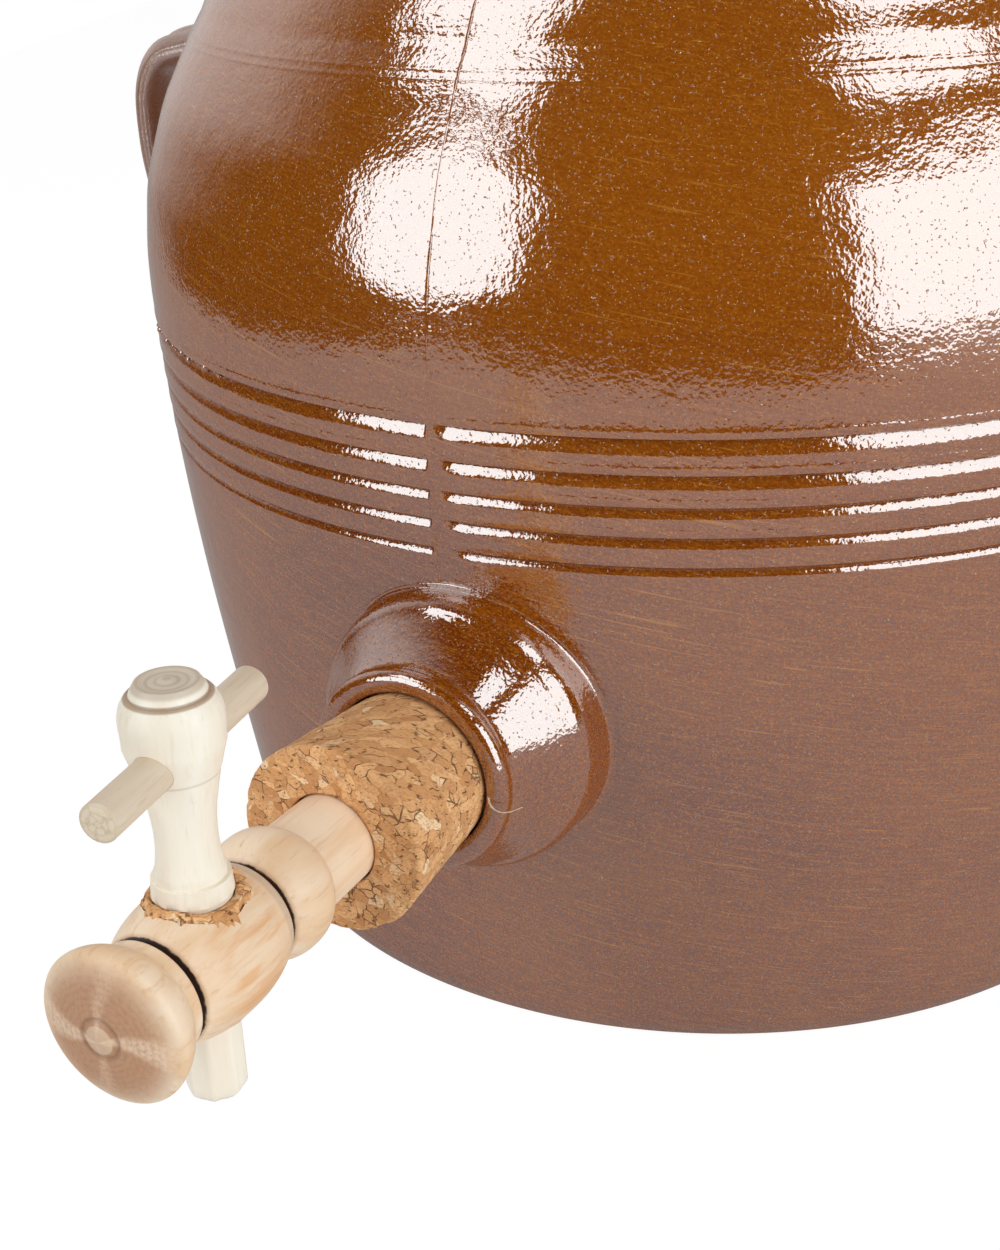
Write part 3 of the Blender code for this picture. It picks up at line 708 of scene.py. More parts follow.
def make_boss():
    """The boss, run into the wall with a small fillet all round."""
    lip_centre = (bung_radius(BOSS_MOUTH) + CLEARANCE + BOSS_LIP_RADIUS, BOSS_MOUTH - BOSS_LIP_RADIUS)
    bore_end = BOSS_MOUTH - BOSS_MOUTH_ROUND
    bore_radius = bung_radius(bore_end) + CLEARANCE
    outline = [(bung_radius(at) + CLEARANCE, at) for at in spread(BUNG_REAR - 0.006, bore_end, 6)]
    outline += arc((bore_radius + BOSS_MOUTH_ROUND, bore_end), BOSS_MOUTH_ROUND, 172, 90, 6)
    outline += arc(lip_centre, BOSS_LIP_RADIUS, 80, -35, 10)
    hollow = (lip_centre[0] + BOSS_LIP_RADIUS - 0.0002, lip_centre[1] - BOSS_LIP_RADIUS)
    wide, long = BOSS_SHOULDER * 1.2, BOSS_SHOULDER * 1.65
    cone_end = hollow[1] - BOSS_CONE_LENGTH
    shoulder = arc((BOSS_RADIUS - wide, cone_end + 0.0004 - long), (wide, long), 60, 0, 12)
    outline += [hollow]
    for share in spread(0, 1, 8)[1:-1]:
        radius = hollow[0] + (shoulder[0][0] - hollow[0]) * share
        at = hollow[1] + (shoulder[0][1] - hollow[1]) * share
        outline.append((radius - BOSS_HOLLOW * sin(pi * share), at))
    rings = turned_rings(outline + shoulder, BOSS_SIDES, along_tap)
    ways = [(cos(angle), sin(angle)) for angle in round_angles(BOSS_SIDES)]
    far_radius = BOSS_RADIUS + BOSS_FILLET
    for share in (0, 0.15, 0.3, 0.45, 0.6, 0.75, 0.9, 1):
        ring = []
        for across, up in ways:
            near = wall_distance(BOSS_RADIUS * across, BOSS_RADIUS * up)
            far = wall_distance(far_radius * across, far_radius * up) + 0.00002
            start = (BOSS_RADIUS, min(near + BOSS_FILLET, shoulder[-1][1]))
            radius, at = bent(start, (BOSS_RADIUS, near), (far_radius, far), share)
            ring.append(along_tap(radius * across, radius * up, at))
        rings.append(ring)
    for radius, depth in ((far_radius + 0.0004, 0.001), (BOSS_RADIUS, WALL / 2)):
        spots = [(radius * across, radius * up) for across, up in ways]
        rings.append([along_tap(*spot, wall_distance(*spot) - depth) for spot in spots])
    back = bung_radius(BUNG_REAR) + 0.0012
    rings.append([along_tap(back * across, back * up, BUNG_REAR - 0.0055) for across, up in ways])
    return skin("boss", rings, closed=True)


def make_splinter():
    """A dry straw caught between the bung and the boss."""
    middle = smooth_path([Vector(point) for point in SPLINTER], 6)
    rings = []
    for index, centre in enumerate(middle):
        thin = SPLINTER_RADIUS * (1 - 0.75 * index / (len(middle) - 1))
        ahead = path_ahead(middle, index).normalized()
        side = ahead.cross(Vector((0, 1, 0))).normalized()
        above = ahead.cross(side)
        rings.append([tuple(centre + side * (thin * cos(angle)) + above * (thin * sin(angle)))
                      for angle in round_angles(10)])
    return skin("splinter", [[tuple(middle[0])], *rings, [tuple(middle[-1])]])


# Tap


def ring_groove(start, radius):
    """Outline points of a narrow burnt groove."""
    shares = ((0.12, 0.25), (0.25, 0.75), (0.38, 1), (0.62, 1), (0.75, 0.75), (0.88, 0.25))
    return [(radius - RING_DEPTH * deep, start + RING_WIDTH * share) for share, deep in shares]


def tail_radius(distance):
    """Radius of the barrel's tapered tail and neck."""
    share = (distance - BUNG_FACE + TAIL_LENGTH) / (TAIL_LENGTH + NECK_LENGTH)
    return TAIL_END_RADIUS + (TAP_NECK_RADIUS - TAIL_END_RADIUS) * min(share, 1)


def make_bung():
    """The cork bung: a tapered ring of pressed granules with a crumbled edge."""
    front = bung_radius(BUNG_FACE)
    rear = BUNG_REAR_RADIUS - BUNG_EDGE
    bore = [(tail_radius(at) + CLEARANCE, at) for at in spread(BUNG_FACE - 0.0001, BUNG_REAR + 0.0001, 20)]
    outline = [(radius, BUNG_REAR) for radius in spread(tail_radius(BUNG_REAR) + 0.001, rear, 6)]
    outline += arc((rear, BUNG_REAR + BUNG_EDGE), BUNG_EDGE, -60, -10, 3)
    outline += [(bung_radius(at), at) for at in spread(BUNG_REAR + 0.0014, BUNG_FACE - BUNG_EDGE, 90)]
    outline += arc((front - BUNG_EDGE, BUNG_FACE - BUNG_EDGE), BUNG_EDGE, 10, 80, 4)
    face = spread(front - BUNG_EDGE * 1.3, tail_radius(BUNG_FACE) + 0.0006, 14)
    outline += [(radius, BUNG_FACE) for radius in face]
    rings = turned_rings(bore, BUNG_SIDES, along_tap)
    for radius, at in outline:
        ring = []
        for angle in round_angles(BUNG_SIDES):
            spot = Vector((radius * cos(angle), radius * sin(angle), at))
            dent = -CORK_DENT * smooth_step((noise.noise(spot * 260) - 0.42) / 0.12)
            worn = -CORK_WEAR * smooth_step((noise.noise(spot * 300 + Vector((7, 7, 7))) - 0.25) / 0.2)
            on_edge = exp(-(((at - BUNG_FACE) / 0.0008) ** 2)) * exp(-(((radius - front) / 0.0012) ** 2))
            change = rough(spot, 420, CORK_ROUGH) + rough(spot, 1100, CORK_FINE, 3) + dent + worn * on_edge
            held = min(change, 0) if at < BOSS_MOUTH + 0.0005 else change
            reach = radius + (held if at < BUNG_FACE - 0.0001 else change * on_edge)
            sunk = min(change, 0) if at > BUNG_FACE - 0.0003 else 0
            ring.append(along_tap(reach * cos(angle), reach * sin(angle), at + sunk))
        rings.append(ring)
    return skin("cork_bung", rings, closed=True)


def make_barrel():
    """The turned barrel, from its tail in the jar to the nub on its knob, bored for vinegar and key."""
    tail_end = BUNG_FACE - TAIL_LENGTH
    outline = [(0, tail_end), (TAIL_END_RADIUS - 0.0004, tail_end), (TAIL_END_RADIUS, tail_end + 0.0004)]
    outline += [(tail_radius(at), at) for at in spread(tail_end + 0.002, BEAD_START - 0.0003, 20)]
    bead = ((TAP_NECK_RADIUS + 0.0001, BEAD_START), (BEAD_END_RADIUS, BEAD_END))
    outline += bulged(*bead, BEAD_RADIUS, 2.3, 22)
    outline += ring_groove(BEAD_END, BEAD_END_RADIUS)
    belly = ((BARREL_END_RADIUS, BARREL_START), (BARREL_END_RADIUS, BARREL_END))
    outline += bulged(*belly, BARREL_RADIUS, 2.4, 40)
    outline += ring_groove(BARREL_END, BARREL_END_RADIUS)
    for share in spread(0, 1, 6):
        radius = BARREL_END_RADIUS + (KNOB_NECK_RADIUS - BARREL_END_RADIUS) * share**2
        outline.append((radius, KNOB_START + KNOB_NECK_LENGTH * share))
    for share in spread(0, 1, 12)[1:]:
        swell = sin(share * pi / 2) ** 0.9
        radius = KNOB_NECK_RADIUS + (KNOB_RADIUS - KNOB_NECK_RADIUS) * swell
        outline.append((radius, KNOB_BACK + KNOB_BACK_LENGTH * share))
    outline += arc((0, KNOB_EDGE), (KNOB_RADIUS, KNOB_FRONT_LENGTH), 4, 70, 16)
    for share, height in ((1.5, -0.0001), (1.32, -0.0003), (1.14, -0.0001), (1, 0.0001)):
        outline.append((NUB_RADIUS * share, KNOB_FACE + height))
    outline += arc((0, KNOB_FACE), (NUB_RADIUS * 0.86, NUB_HEIGHT), 20, 80, 5) + [(0, KNOB_FACE + NUB_HEIGHT)]
    channel = drill("channel", (CHANNEL_RADIUS, CHANNEL_RADIUS), (tail_end - 0.01, KEY_PLACE), 48, along_tap)
    reach = BARREL_RADIUS + 0.001
    around = LINING + CLEARANCE * 2
    bore = drill("key_bore", (key_radius(-reach) + around, key_radius(reach) + around), (-reach, reach), 72,
                 lambda across, out, up: (across, out - KEY_PLACE, TAP_HEIGHT + up))
    return cut_out(skin("barrel", turned_rings(outline, BARREL_SIDES, along_tap)), [channel, bore], 50)


def barrel_radius(distance):
    """Radius of the barrel where the key goes through it."""
    share = (distance - BARREL_START) / BARREL_LENGTH
    return BARREL_END_RADIUS + (BARREL_RADIUS - BARREL_END_RADIUS) * (1 - abs(2 * share - 1) ** 2.4)


def make_shreds():
    """Torn cork round the key's collar, squeezed up out of the bore and lying on the barrel."""
    rings = []
    inner = KEY_COLLAR_RADIUS + SHRED_GAP
    for out, level in SHRED_OUTLINE:
        ring = []
        for angle in round_angles(SHRED_SIDES):
            turn = Vector((cos(angle), sin(angle), 0))
            torn = SHRED_REACH + 0.0009 * noise.noise(turn * 2.3 + Vector((3, 1, 0)))
            torn += 0.0008 * noise.noise(turn * 9)
            torn += 0.0005 * noise.noise(turn * 24 + Vector((0, 5, 2)))
            radius = inner + out * max(torn, 0.0004)
            across, along = radius * cos(angle), radius * sin(angle)
            height = SHRED_HEIGHT + 0.0004 * noise.noise(turn * 5 + Vector((0, 0, out * 3)))
            height += 0.0003 * noise.noise(turn * 16 + Vector((out * 6, 0, 1)))
            base = sqrt(max(barrel_radius(KEY_PLACE - along) ** 2 - across * across, 0))
            up = base - SHRED_ROOT if level is None else base + max(height, 0.0002) * level
            ring.append((across, along - KEY_PLACE, TAP_HEIGHT + up))
        rings.append(ring)
    return skin("cork_shreds", rings, closed=True)


# Key


def key_radius(height):
    """Radius of the key where it tapers through the barrel."""
    share = (height + BARREL_RADIUS) / (BARREL_RADIUS + KEY_COLLAR)
    return KEY_TAIL_RADIUS + (KEY_SEAT_RADIUS - KEY_TAIL_RADIUS) * share


def on_key(across, out, up):
    """A point of a piece turned about the key's axis, with the key at rest."""
    turned = Matrix.Rotation(KEY_REST_ANGLE, 3, "Z") @ Vector((across, out, up))
    return (turned.x, turned.y - KEY_PLACE, TAP_HEIGHT + turned.z)


def along_bar(across, up, along):
    """A point of a piece turned about the crossbar's axis, with the key at rest."""
    return on_key(across, -along, CROSSBAR_HEIGHT + up)


def key_outline():
    """Outline points of the key from the end of its spout to its crown."""
    collar_top = KEY_COLLAR + KEY_COLLAR_LENGTH
    waist = collar_top + KEY_WAIST_LENGTH
    top = KEY_CROWN - KEY_TOP_LENGTH
    tail = spread(KEY_TAIL_CHAMFER * 1.3 - KEY_TAIL_LENGTH, -BARREL_RADIUS - 0.001, 10)
    points = [(0, -KEY_TAIL_LENGTH), (KEY_TAIL_RADIUS - KEY_TAIL_CHAMFER, -KEY_TAIL_LENGTH)]
    points += [(KEY_TAIL_RADIUS - KEY_TAIL_CHAMFER * 0.3, KEY_TAIL_CHAMFER * 0.7 - KEY_TAIL_LENGTH)]
    points += [(KEY_TAIL_RADIUS, height) for height in tail]
    points += [(key_radius(height), height) for height in spread(-BARREL_RADIUS, KEY_COLLAR - 0.0001, 10)]
    points += [(KEY_COLLAR_RADIUS - 0.0003, KEY_COLLAR), (KEY_COLLAR_RADIUS, KEY_COLLAR + 0.0004)]
    points += [(KEY_COLLAR_RADIUS - 0.0001, KEY_COLLAR + KEY_COLLAR_LENGTH * 0.55)]
    points += [(KEY_COLLAR_RADIUS - 0.0002, collar_top - 0.0001), (KEY_COLLAR_RADIUS - 0.0008, collar_top)]
    waist_curve = (KEY_COLLAR_RADIUS - KEY_WAIST_RADIUS, KEY_WAIST_LENGTH)
    points += arc((KEY_COLLAR_RADIUS, waist), waist_curve, 238, 180, 10)
    for share in spread(0, 1, 16)[1:]:
        radius = KEY_WAIST_RADIUS + (KEY_HEAD_RADIUS - KEY_WAIST_RADIUS) * smooth_step(share / 2) * 2
        points.append((min(radius, KEY_HEAD_RADIUS), waist + (KEY_HEAD - waist) * share))
    head = ((KEY_HEAD_RADIUS, KEY_HEAD), (KEY_CROWN_RADIUS, top))
    points += bulged(*head, KEY_HEAD_RADIUS + 0.0001, 2, 14)[1:]
    points += [(KEY_CROWN_RADIUS - 0.0002, top + 0.0002), (KEY_CROWN_RADIUS - 0.0006, top + 0.0002)]
    points += [(KEY_TOP_RADIUS + 0.0004, top + 0.0007), (KEY_TOP_RADIUS, top + 0.0014)]
    crown = ((KEY_TOP_RADIUS - 0.0003, -0.0002), (KEY_TOP_RADIUS - 0.0008, -0.0001), (0.0034, -0.0003),
             (0.0018, -0.00035), (0.0013, -0.0002), (0.0008, 0), (0, 0))
    return points + [(radius, KEY_CROWN + height) for radius, height in crown]


def make_key():
    """The key: a whittled tail with eight sides, a turned waist and head, a score line and a ringed crown."""
    rings = []
    for radius, height in key_outline():
        if radius == 0:
            rings.append([on_key(0, 0, height)])
            continue
        ring = []
        for angle in round_angles(KEY_SIDES):
            reach = radius
            if height < -BARREL_RADIUS:
                sector = (angle + pi / 8) % (pi / 4) - pi / 8
                flat = radius * KEY_FLAT / cos(sector)
                share = smooth_step((-BARREL_RADIUS - height) / 0.001)
                reach += (min(flat, radius * 1.02) - radius) * share
            if KEY_COLLAR < height < KEY_COLLAR + 0.009:
                sector = (angle + pi / 12) % (pi / 6) - pi / 12
                reach += 0.00012 * (1 / cos(sector) - 1.02) * 8
            reach -= KEY_SCORE_DEPTH * exp(-(((height - KEY_SCORE) / KEY_SCORE_WIDTH) ** 2))
            if radius > 0.0046:
                reach += rough((cos(angle), sin(angle), height * 60), 1.5, 0.00008)
            ragged = 0
            if height < KEY_TAIL_CHAMFER - KEY_TAIL_LENGTH:
                ragged = 0.00035 * noise.noise(Vector((cos(angle) * 2, sin(angle) * 2, 4)))
            ring.append(on_key(reach * cos(angle), reach * sin(angle), height + max(ragged, 0)))
        rings.append(ring)
    low = -KEY_TAIL_LENGTH - 0.002
    spout = skin("spout_bore", turned_rings([(0, low), (SPOUT_RADIUS, low), (SPOUT_RADIUS, PORT_RADIUS),
                                             (0, PORT_RADIUS + SPOUT_RADIUS)], 40, on_key))
    port = drill("port_bore", (PORT_RADIUS, PORT_RADIUS), (0, 0.008), 40,
                 lambda across, up, along: on_key(across, along, up))
    hole_radius = CROSSBAR_RADIUS + 0.00004
    hole = drill("bar_hole", (hole_radius, hole_radius), (-0.012, 0.012), 64, along_bar)
    return cut_out(skin("key_turned", rings), [spout, port, hole], 40)


def make_crossbar():
    """The dowel through the key's head, with its ends a little rounded."""
    front = CROSSBAR_LENGTH / 2 - CROSSBAR_OFFSET
    rear = front - CROSSBAR_LENGTH
    ease = CROSSBAR_RADIUS - CROSSBAR_CHAMFER
    outline = [(0, rear + 0.0001), (CROSSBAR_RADIUS - 0.001, rear), (ease, rear + 0.0001)]
    outline += [(CROSSBAR_RADIUS, rear + CROSSBAR_CHAMFER)]
    outline += [(CROSSBAR_RADIUS, at) for at in spread(rear + 0.001, front - 0.001, 30)]
    outline += [(CROSSBAR_RADIUS, front - CROSSBAR_CHAMFER), (ease, front - 0.0001)]
    outline += [(CROSSBAR_RADIUS - 0.001, front), (0, front - 0.0001)]
    bar = skin("crossbar", turned_rings(outline, 72, along_bar))
    bar.data.set_sharp_from_angle(angle=radians(50))
    return bar


# Materials


class Graph:
    """Short calls for building the nodes of a material or a world."""

    def __init__(self, owner):
        owner.use_nodes = True
        self.owner = owner
        self.tree = owner.node_tree

    def join(self, socket, value):
        """Links a socket, or sets it where the value isn't one."""
        if isinstance(value, bpy.types.NodeSocket):
            self.tree.links.new(value, socket)
        else:
            socket.default_value = (*value, 1) if socket.type == "RGBA" else value

    def add(self, kind, inputs=None, output=0, **settings):
        """One output of a node with some inputs set or linked."""
        made = self.tree.nodes.new(kind)
        for key, value in settings.items():
            setattr(made, key, value)
        for key, value in (inputs or {}).items():
            self.join(made.inputs[key], value)
        return made.outputs[output]

    def moved(self, scale=(1, 1, 1), shift=(0, 0, 0), turn=(0, 0, 0), source=None):
        """A place, by default the place on the piece, shifted, turned and scaled."""
        vector = source or self.add("ShaderNodeTexCoord", output="Object")
        shifted = self.add("ShaderNodeVectorMath", {0: vector, 1: shift}, operation="ADD")
        inputs = {"Vector": shifted, "Rotation": turn}
        turned = self.add("ShaderNodeVectorRotate", inputs, rotation_type="EULER_XYZ")
        return self.add("ShaderNodeVectorMath", {0: turned, 1: scale}, operation="MULTIPLY")

    def noise(self, scale, detail=2.0, roughness=0.5, source=None):
        """Noise from 0 to 1, of one size in all directions."""
        vector = source or self.add("ShaderNodeTexCoord", output="Object")
        inputs = {"Vector": vector, "Scale": scale, "Detail": detail, "Roughness": roughness}
        return self.add("ShaderNodeTexNoise", inputs)

    def grain(self, scale, detail, roughness, distortion=0.0, turn=(0, 0, 0), source=None):
        """Noise from 0 to 1, finer or coarser along each axis."""
        inputs = {"Vector": self.moved(scale, turn=turn, source=source), "Scale": 1.0, "Detail": detail}
        inputs.update({"Roughness": roughness, "Distortion": distortion})
        return self.add("ShaderNodeTexNoise", inputs)

    def range(self, value, low, high, to_low=0.0, to_high=1.0):
        """The value, smoothly stretched from one range to another and held to it."""
        inputs = {"Value": value, "From Min": low, "From Max": high, "To Min": to_low, "To Max": to_high}
        return self.add("ShaderNodeMapRange", inputs, interpolation_type="SMOOTHSTEP")

    def math(self, operation, first, second=0.0):
        """An operation on one or two numbers."""
        return self.add("ShaderNodeMath", {0: first, 1: second}, operation=operation)

    plus = partialmethod(math, "ADD")
    minus = partialmethod(math, "SUBTRACT")
    times = partialmethod(math, "MULTIPLY")

    def away(self, value, middle):
        """How far a value is from the middle."""
        return self.math("ABSOLUTE", self.minus(value, middle))

    def reach(self, first, second):
        """Distance from an axis."""
        return self.math("SQRT", self.plus(self.times(first, first), self.times(second, second)))

    def mix(self, share, first, second):
        """Two colours mixed."""
        return self.add("ShaderNodeMix", {0: share, 6: first, 7: second}, output=2, data_type="RGBA")

    def layers(self, colour, *layers):
        """The colour under others: for each a value, two levels of it, its shares there, and its shade."""
        for value, low, high, share_low, share_high, shade in layers:
            colour = self.mix(self.range(value, low, high, share_low, share_high), colour, shade)
        return colour

    def axes(self, vector=None):
        """The three parts of a vector, by default the place on the piece."""
        made = self.tree.nodes.new("ShaderNodeSeparateXYZ")
        self.join(made.inputs[0], vector or self.add("ShaderNodeTexCoord", output="Object"))
        return made.outputs

    def bump(self, height, distance, normal=None):
        """A bump, on top of another if one is given."""
        inputs = {"Height": height, "Distance": distance}
        if normal:
            inputs["Normal"] = normal
        return self.add("ShaderNodeBump", inputs)

    def finish(self, colour, roughness, normal, **settings):
        """The material, with what its shader's sockets take."""
        shader = self.tree.nodes["Principled BSDF"]
        inputs = {"Base Color": colour, "Roughness": roughness, "Normal": normal, **settings}
        for key, value in inputs.items():
            self.join(shader.inputs[key], value)
        return self.owner


def make_glaze(name, painted_veil, dullness):
    """Brown salt glaze: streaked by the wheel, flecked with gold, and pitted like fine orange peel.

    The second argument is how much pale grey-mauve painted reflection of the white backdrop is mixed into the
    colour, and dullness is added to its roughness.
    """
    graph = Graph(bpy.data.materials.new(name))
    across, out, up = graph.axes()
    girth = graph.times(graph.math("ARCTAN2", across, graph.times(out, -1.0)), BELLY_RADIUS)
    lowered = graph.plus(up, graph.times(girth, 0.2))
    wheel = graph.add("ShaderNodeCombineXYZ", {0: girth, 1: lowered, 2: graph.reach(across, out)})
    blotches = graph.noise(24.0, 3.0, 0.55)
    streaks = graph.grain((110, 2100, 2100), 4.0, 0.65, source=wheel)
    fine = graph.grain((1600, 2700, 2700), 3.0, 0.7, source=wheel)
    threads = graph.grain((12, 2600, 2600), 1.0, 0.5, source=wheel)
    dots = graph.noise(2900.0, 1.0)
    colour = graph.layers(
        (0.175, 0.027, 0.0003),
        (up, 0.08, 0.165, 0.0, 1.0, (0.33, 0.08, 0.002)),
        (blotches, 0.35, 0.65, 0.0, 0.6, (0.27, 0.062, 0.0018)),
        (streaks, 0.46, 0.68, 0.0, 0.5, (0.38, 0.108, 0.004)),
        (streaks, 0.3, 0.42, 0.12, 0.0, (0.12, 0.02, 0.0005)),
        (fine, 0.48, 0.68, 0.0, 0.6, (0.44, 0.132, 0.006)),
        (fine, 0.28, 0.45, 0.4, 0.0, (0.11, 0.019, 0.0006)),
        (dots, 0.6, 0.72, 0.0, 0.5, (0.58, 0.23, 0.03)),
        (threads, 0.68, 0.74, 0.0, 0.5, (0.56, 0.22, 0.025)),
    )
    # Painted reflection: a pale grey-mauve mixed into the colour stands for the white backdrop mirrored at a
    # grazing angle.
    colour = graph.mix(painted_veil, colour, (0.42, 0.32, 0.29))
    normal = graph.bump(graph.noise(260.0, 1.0, 0.4), 0.0001)
    normal = graph.bump(graph.noise(1350.0, 1.0, 0.45), 0.000055, normal)
    normal = graph.bump(graph.range(graph.noise(2300.0, 0.0), 0.74, 0.84), 0.00012, normal)
    roughness = graph.range(fine, 0.3, 0.8, 0.05 + dullness, 0.1 + dullness)
    return graph.finish(colour, roughness, normal, **{"IOR": 2.0, "Specular IOR Level": 1.0})


def make_cork():
    """Pressed cork: pale long granules lying slantwise, a few broken cracks, dark pits and lighter flakes."""
    graph = Graph(bpy.data.materials.new("cork"))
    here = graph.add("ShaderNodeTexCoord", output="Object")
    warp = graph.add("ShaderNodeTexNoise", {"Vector": here, "Scale": 300.0, "Detail": 2.0}, output=1)
    warped = graph.add("ShaderNodeVectorMath", {0: warp, "Scale": 0.0018}, operation="SCALE")
    place = graph.add("ShaderNodeVectorMath", {0: here, 1: warped}, operation="ADD")
    slant = (radians(35), radians(20), radians(40))
    grains = graph.moved((1.0, 0.36, 0.95), turn=slant, source=place)
    cells = {"Vector": grains, "Scale": 640.0, "Randomness": 1.0}
    hue, shade, deep = graph.axes(graph.add("ShaderNodeTexVoronoi", cells, output=1))
    edge = graph.add("ShaderNodeTexVoronoi", cells, feature="DISTANCE_TO_EDGE")
    grain = graph.grain((2200, 1000, 3200), 3.0, 0.7, turn=slant)
    colour = graph.layers(
        graph.mix(hue, (0.68, 0.33, 0.125), (0.9, 0.52, 0.24)),
        (shade, 0.7, 0.95, 0.0, 0.6, (0.5, 0.2, 0.065)),
        (deep, 0.84, 0.97, 0.0, 0.85, (0.97, 0.7, 0.42)),
        (grain, 0.46, 0.68, 0.0, 0.75, (0.48, 0.19, 0.062)),
        (edge, 0.0, 0.05, 0.45, 0.0, (0.42, 0.16, 0.05)),
    )
    crack = graph.times(graph.range(edge, 0.0, 0.06, 1.0, 0.0), graph.range(graph.noise(480.0), 0.51, 0.62))
    pits = graph.range(graph.grain((1100, 520, 1300), 2.0, 0.6, turn=slant), 0.64, 0.71)
    dark = graph.math("MAXIMUM", crack, pits)
    colour = graph.mix(graph.times(dark, 0.8), colour, (0.16, 0.055, 0.018))
    normal = graph.bump(graph.minus(graph.times(grain, 0.3), dark), 0.00022)
    return graph.finish(colour, 0.8, normal)


class Wood(Graph):
    """Turned wood whose grain runs along local Y once turned."""

    def __init__(self, name, light, dark, streak, turn=(0, 0, 0)):
        super().__init__(bpy.data.materials.new(name))
        self.lines = self.grain((900, 42, 900), 4.0, 0.6, turn=turn)
        broad = self.grain((150, 22, 150), 3.0, 0.5, 0.4, turn=turn)
        pores = self.grain((3000, 260, 3000), 2.0, 0.5, turn=turn)
        self.height = self.plus(self.lines, self.times(pores, 0.5))
        self.colour = self.layers(
            light,
            (broad, 0.38, 0.66, 0.0, 1.0, dark),
            (self.lines, 0.52, 0.76, 0.0, 0.5, streak),
            (pores, 0.62, 0.75, 0.0, 0.3, streak),
        )

    def done(self, colour, depth, smooth, coarse):
        """The material, with its bump's depth and its roughness between the lines and on them."""
        roughness = self.range(self.lines, 0.3, 0.8, smooth, coarse)
        return self.finish(colour, roughness, self.bump(self.height, depth))


def make_barrel_wood():
    """The barrel's pale pink-tan wood, burnt in two rings, with painted shade on the land past the ring
    nearer the jar, stained at the key and darker on its end grain.
    """
    graph = Wood("barrel_wood", (0.92, 0.71, 0.52), (0.84, 0.56, 0.34), (0.66, 0.36, 0.17))
    across, out, up = graph.axes()
    along = graph.times(out, -1.0)
    wander = graph.times(graph.minus(graph.noise(900.0), 0.5), 0.00025)
    colour = graph.colour
    for start in (BEAD_END, BARREL_END):
        off = graph.math("ABSOLUTE", graph.plus(graph.minus(along, start + RING_WIDTH / 2), wander))
        colour = graph.layers(
            colour,
            (off, 0.0004, 0.0011, 0.4, 0.0, (0.5, 0.24, 0.12)),
            (off, 0.00044, 0.00058, 1.0, 0.0, (0.03, 0.011, 0.007)),
        )
    # Painted shade: the narrow land just past the ring nearer the jar is greyed and darkened as if shade fell
    # there.
    land_shade = graph.times(graph.range(along, BARREL_START, BARREL_START + 0.0003),
                       graph.range(along, BARREL_START + 0.0016, BARREL_START + 0.0024, 1.0, 0.0))
    colour = graph.mix(graph.times(land_shade, 0.45), colour, (0.52, 0.4, 0.31))
    stain = graph.times(graph.range(graph.away(along, KEY_PLACE), 0.004, 0.0085, 1.0, 0.0),
                        graph.range(graph.grain((520, 75, 520), 3.0, 0.6), 0.44, 0.64))
    colour = graph.mix(graph.times(stain, 0.55), colour, (0.78, 0.36, 0.13))
    raised = graph.minus(up, TAP_HEIGHT)
    turn = graph.math("ARCTAN2", raised, across)
    drift = graph.times(graph.grain((70, 20, 70), 1.0, 0.4), 3.0)
    twofold = graph.math("SINE", graph.plus(graph.times(turn, 2.0), graph.plus(drift, -0.6)))
    fourfold = graph.math("SINE", graph.plus(graph.times(turn, 4.0), graph.plus(drift, 0.3)))
    bands = graph.plus(graph.times(twofold, 0.3), graph.times(fourfold, 0.7))
    rays = graph.grain((1500, 20, 1500), 3.0, 0.6)
    reach = graph.reach(raised, across)
    turned = graph.math("SINE", graph.plus(graph.times(reach, 7000.0), graph.times(rays, 9.0)))
    face = graph.layers(
        (0.54, 0.28, 0.155),
        (bands, 0.2, 0.85, 0.0, 0.8, (0.84, 0.59, 0.41)),
        (rays, 0.42, 0.7, 0.0, 0.45, (0.38, 0.19, 0.1)),
        (turned, 0.0, 1.0, 0.0, 0.16, (0.3, 0.15, 0.08)),
        (graph.away(reach, NUB_RADIUS * 1.3), 0.0001, 0.0006, 0.5, 0.0, (0.3, 0.15, 0.08)),
        (reach, NUB_RADIUS * 0.9, NUB_RADIUS, 0.6, 0.0, (0.76, 0.55, 0.38)),
    )
    colour = graph.mix(graph.range(along, KNOB_EDGE + 0.0006, KNOB_EDGE + 0.0026), colour, face)
    return graph.done(colour, 0.00005, 0.4, 0.55)


def make_key_wood():
    """The key's cream wood, with a burnt line under its crown and rings on its end grain."""
    graph = Wood("key_wood", (0.97, 0.88, 0.75), (0.93, 0.81, 0.66), (0.82, 0.66, 0.49), (radians(90), 0, 0))
    across, out, up = graph.axes()
    reach = graph.reach(graph.plus(out, KEY_PLACE), across)
    height = graph.minus(up, TAP_HEIGHT)
    crown_line = graph.away(height, KEY_CROWN - KEY_TOP_LENGTH + 0.0002)
    colour = graph.layers(graph.colour, (crown_line, 0.00012, 0.00042, 0.75, 0.0, (0.32, 0.16, 0.07)))
    on_top = graph.times(graph.range(height, KEY_CROWN - 0.0012, KEY_CROWN - 0.0006),
                         graph.range(reach, KEY_TOP_RADIUS + 0.0002, KEY_TOP_RADIUS + 0.0006, 1.0, 0.0))
    rings = graph.math("SINE", graph.times(reach, 5200.0))
    top = graph.layers((0.66, 0.54, 0.42), (rings, -0.2, 0.9, 0.0, 0.5, (0.47, 0.34, 0.23)))
    colour = graph.mix(on_top, colour, top)
    score = graph.away(height, KEY_SCORE)
    colour = graph.layers(colour, (score, 0.00008, 0.0003, 0.3, 0.0, (0.5, 0.34, 0.2)))
    return graph.done(colour, 0.00004, 0.4, 0.55)


